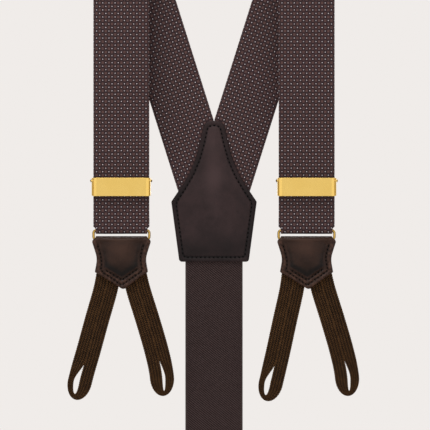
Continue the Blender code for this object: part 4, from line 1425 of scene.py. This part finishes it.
def make_adjuster(side_name, side):
    """The gilt adjuster: channel behind, lever plate in front on a pin, and a toothed bar inside."""
    x = side * FRONT_X
    plate, pin = "lever_plate_" + side_name, "hinge_pin_" + side_name
    low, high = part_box(plate)
    half = (high.x - low.x) / 2.0 + PLATE_WIDER
    outline = winged_outline(half, low.y, PLATE_THICK, WING_WIDTH, WING_DROP)
    face = extruded("plate_" + side_name, outline, low.z, high.z, 0.3 * MM, x)
    barrel = rod("barrel_" + side_name, x, middle(pin, 1), middle(pin, 2), 14.0 * MM, 1.5 * MM)
    lever = join([face, barrel])
    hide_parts(plate)
    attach(lever, "lever_" + side_name)
    make_frame(side_name, x)
    for node in ("lever_teeth_" + side_name, pin):
        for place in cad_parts[node].material_slots:
            place.material = GOLD


def make_frame(side_name, x):
    """The channel behind the strap, with the crossbar that the strap's end is sewn to, and its two lugs."""
    node = "adjuster_frame_" + side_name
    low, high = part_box(node)
    half = (high.x - low.x) / 2.0
    back = FRAME_BACK_Y
    channel_line = channel_outline(half, low.y, back, FRAME_THICK, FRAME_CORNER)
    outline = [Vector((p.x, back + low.y - p.y)) for p in channel_line]
    channel = extruded("frame_" + side_name, list(reversed(outline)), low.z, high.z, 0.12 * MM, x)
    hem = "strap_hem_" + side_name
    bar_y, bar_z = middle(hem, 1), middle(hem, 2)
    pieces = [channel, rod("crossbar_" + side_name, x, bar_y, bar_z, half - 0.1 * MM, 0.8 * MM)]
    lug_low, lug_high = back - 0.3 * MM, bar_y + 0.8 * MM
    for end in (-1.0, 1.0):
        near, far = end * (half - FRAME_THICK), end * half
        corners = [Vector(p) for p in ((near, lug_low), (far, lug_low), (far, lug_high), (near, lug_high))]
        pieces.append(extruded("lug", corners, bar_z - LUG_HALF, bar_z + LUG_HALF, 0.15 * MM, x))
    body = join(pieces)
    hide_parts(node)
    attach(body, "adjuster_" + side_name)


def make_ring(place):
    """The wire rectangle between strap and tab."""
    node = "ring_" + place
    low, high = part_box(node)
    half, tall = (high.x - low.x) / 2.0 - WIRE_RADIUS, high.z - low.z - 2.0 * WIRE_RADIUS
    signs = ((-1, 1), (1, 1), (1, -1), (-1, -1))
    corners = [(sx * half, sz * tall / 2.0, WIRE_CORNER) for sx, sz in signs]
    line = rounded_outline(corners, unit=1.0)
    centre = (low + high) / 2.0
    points = []
    count = len(line)
    for i, spot in enumerate(line):
        along = (line[(i + 1) % count] - line[i - 1]).normalized()
        normal = Vector((along.y, -along.x))
        for wide, deep in circle(WIRE_SIDES):
            flat = spot + normal * WIRE_RADIUS * wide
            points.append((centre.x + flat.x, centre.y + WIRE_RADIUS * deep, centre.z + flat.y))
    # The ring's wire takes the darker copy of the gold, which paints shade on it.
    item = make_mesh("wire_" + place, points, tube_faces(count, WIRE_SIDES, closed=True), SHADED_WIRE_GOLD)
    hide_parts(node)
    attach(item, "ring_" + place)


# ---------------------------------------------------------------- everything

make_camera()
for loop_place, loop_name, loop_route in LOOPS:
    make_loop(loop_place, loop_name, loop_route)
make_world()
make_lights()
make_floor()
bpy.context.scene.view_settings.view_transform = "Standard"
for strap_name, strap_side in SIDES:
    make_strap(strap_name, strap_side)
    make_adjuster(strap_name, strap_side)
make_elastic()
make_patch()
for tab_place in ("left", "right", "rear"):
    make_tab(tab_place)
    make_ring(tab_place)
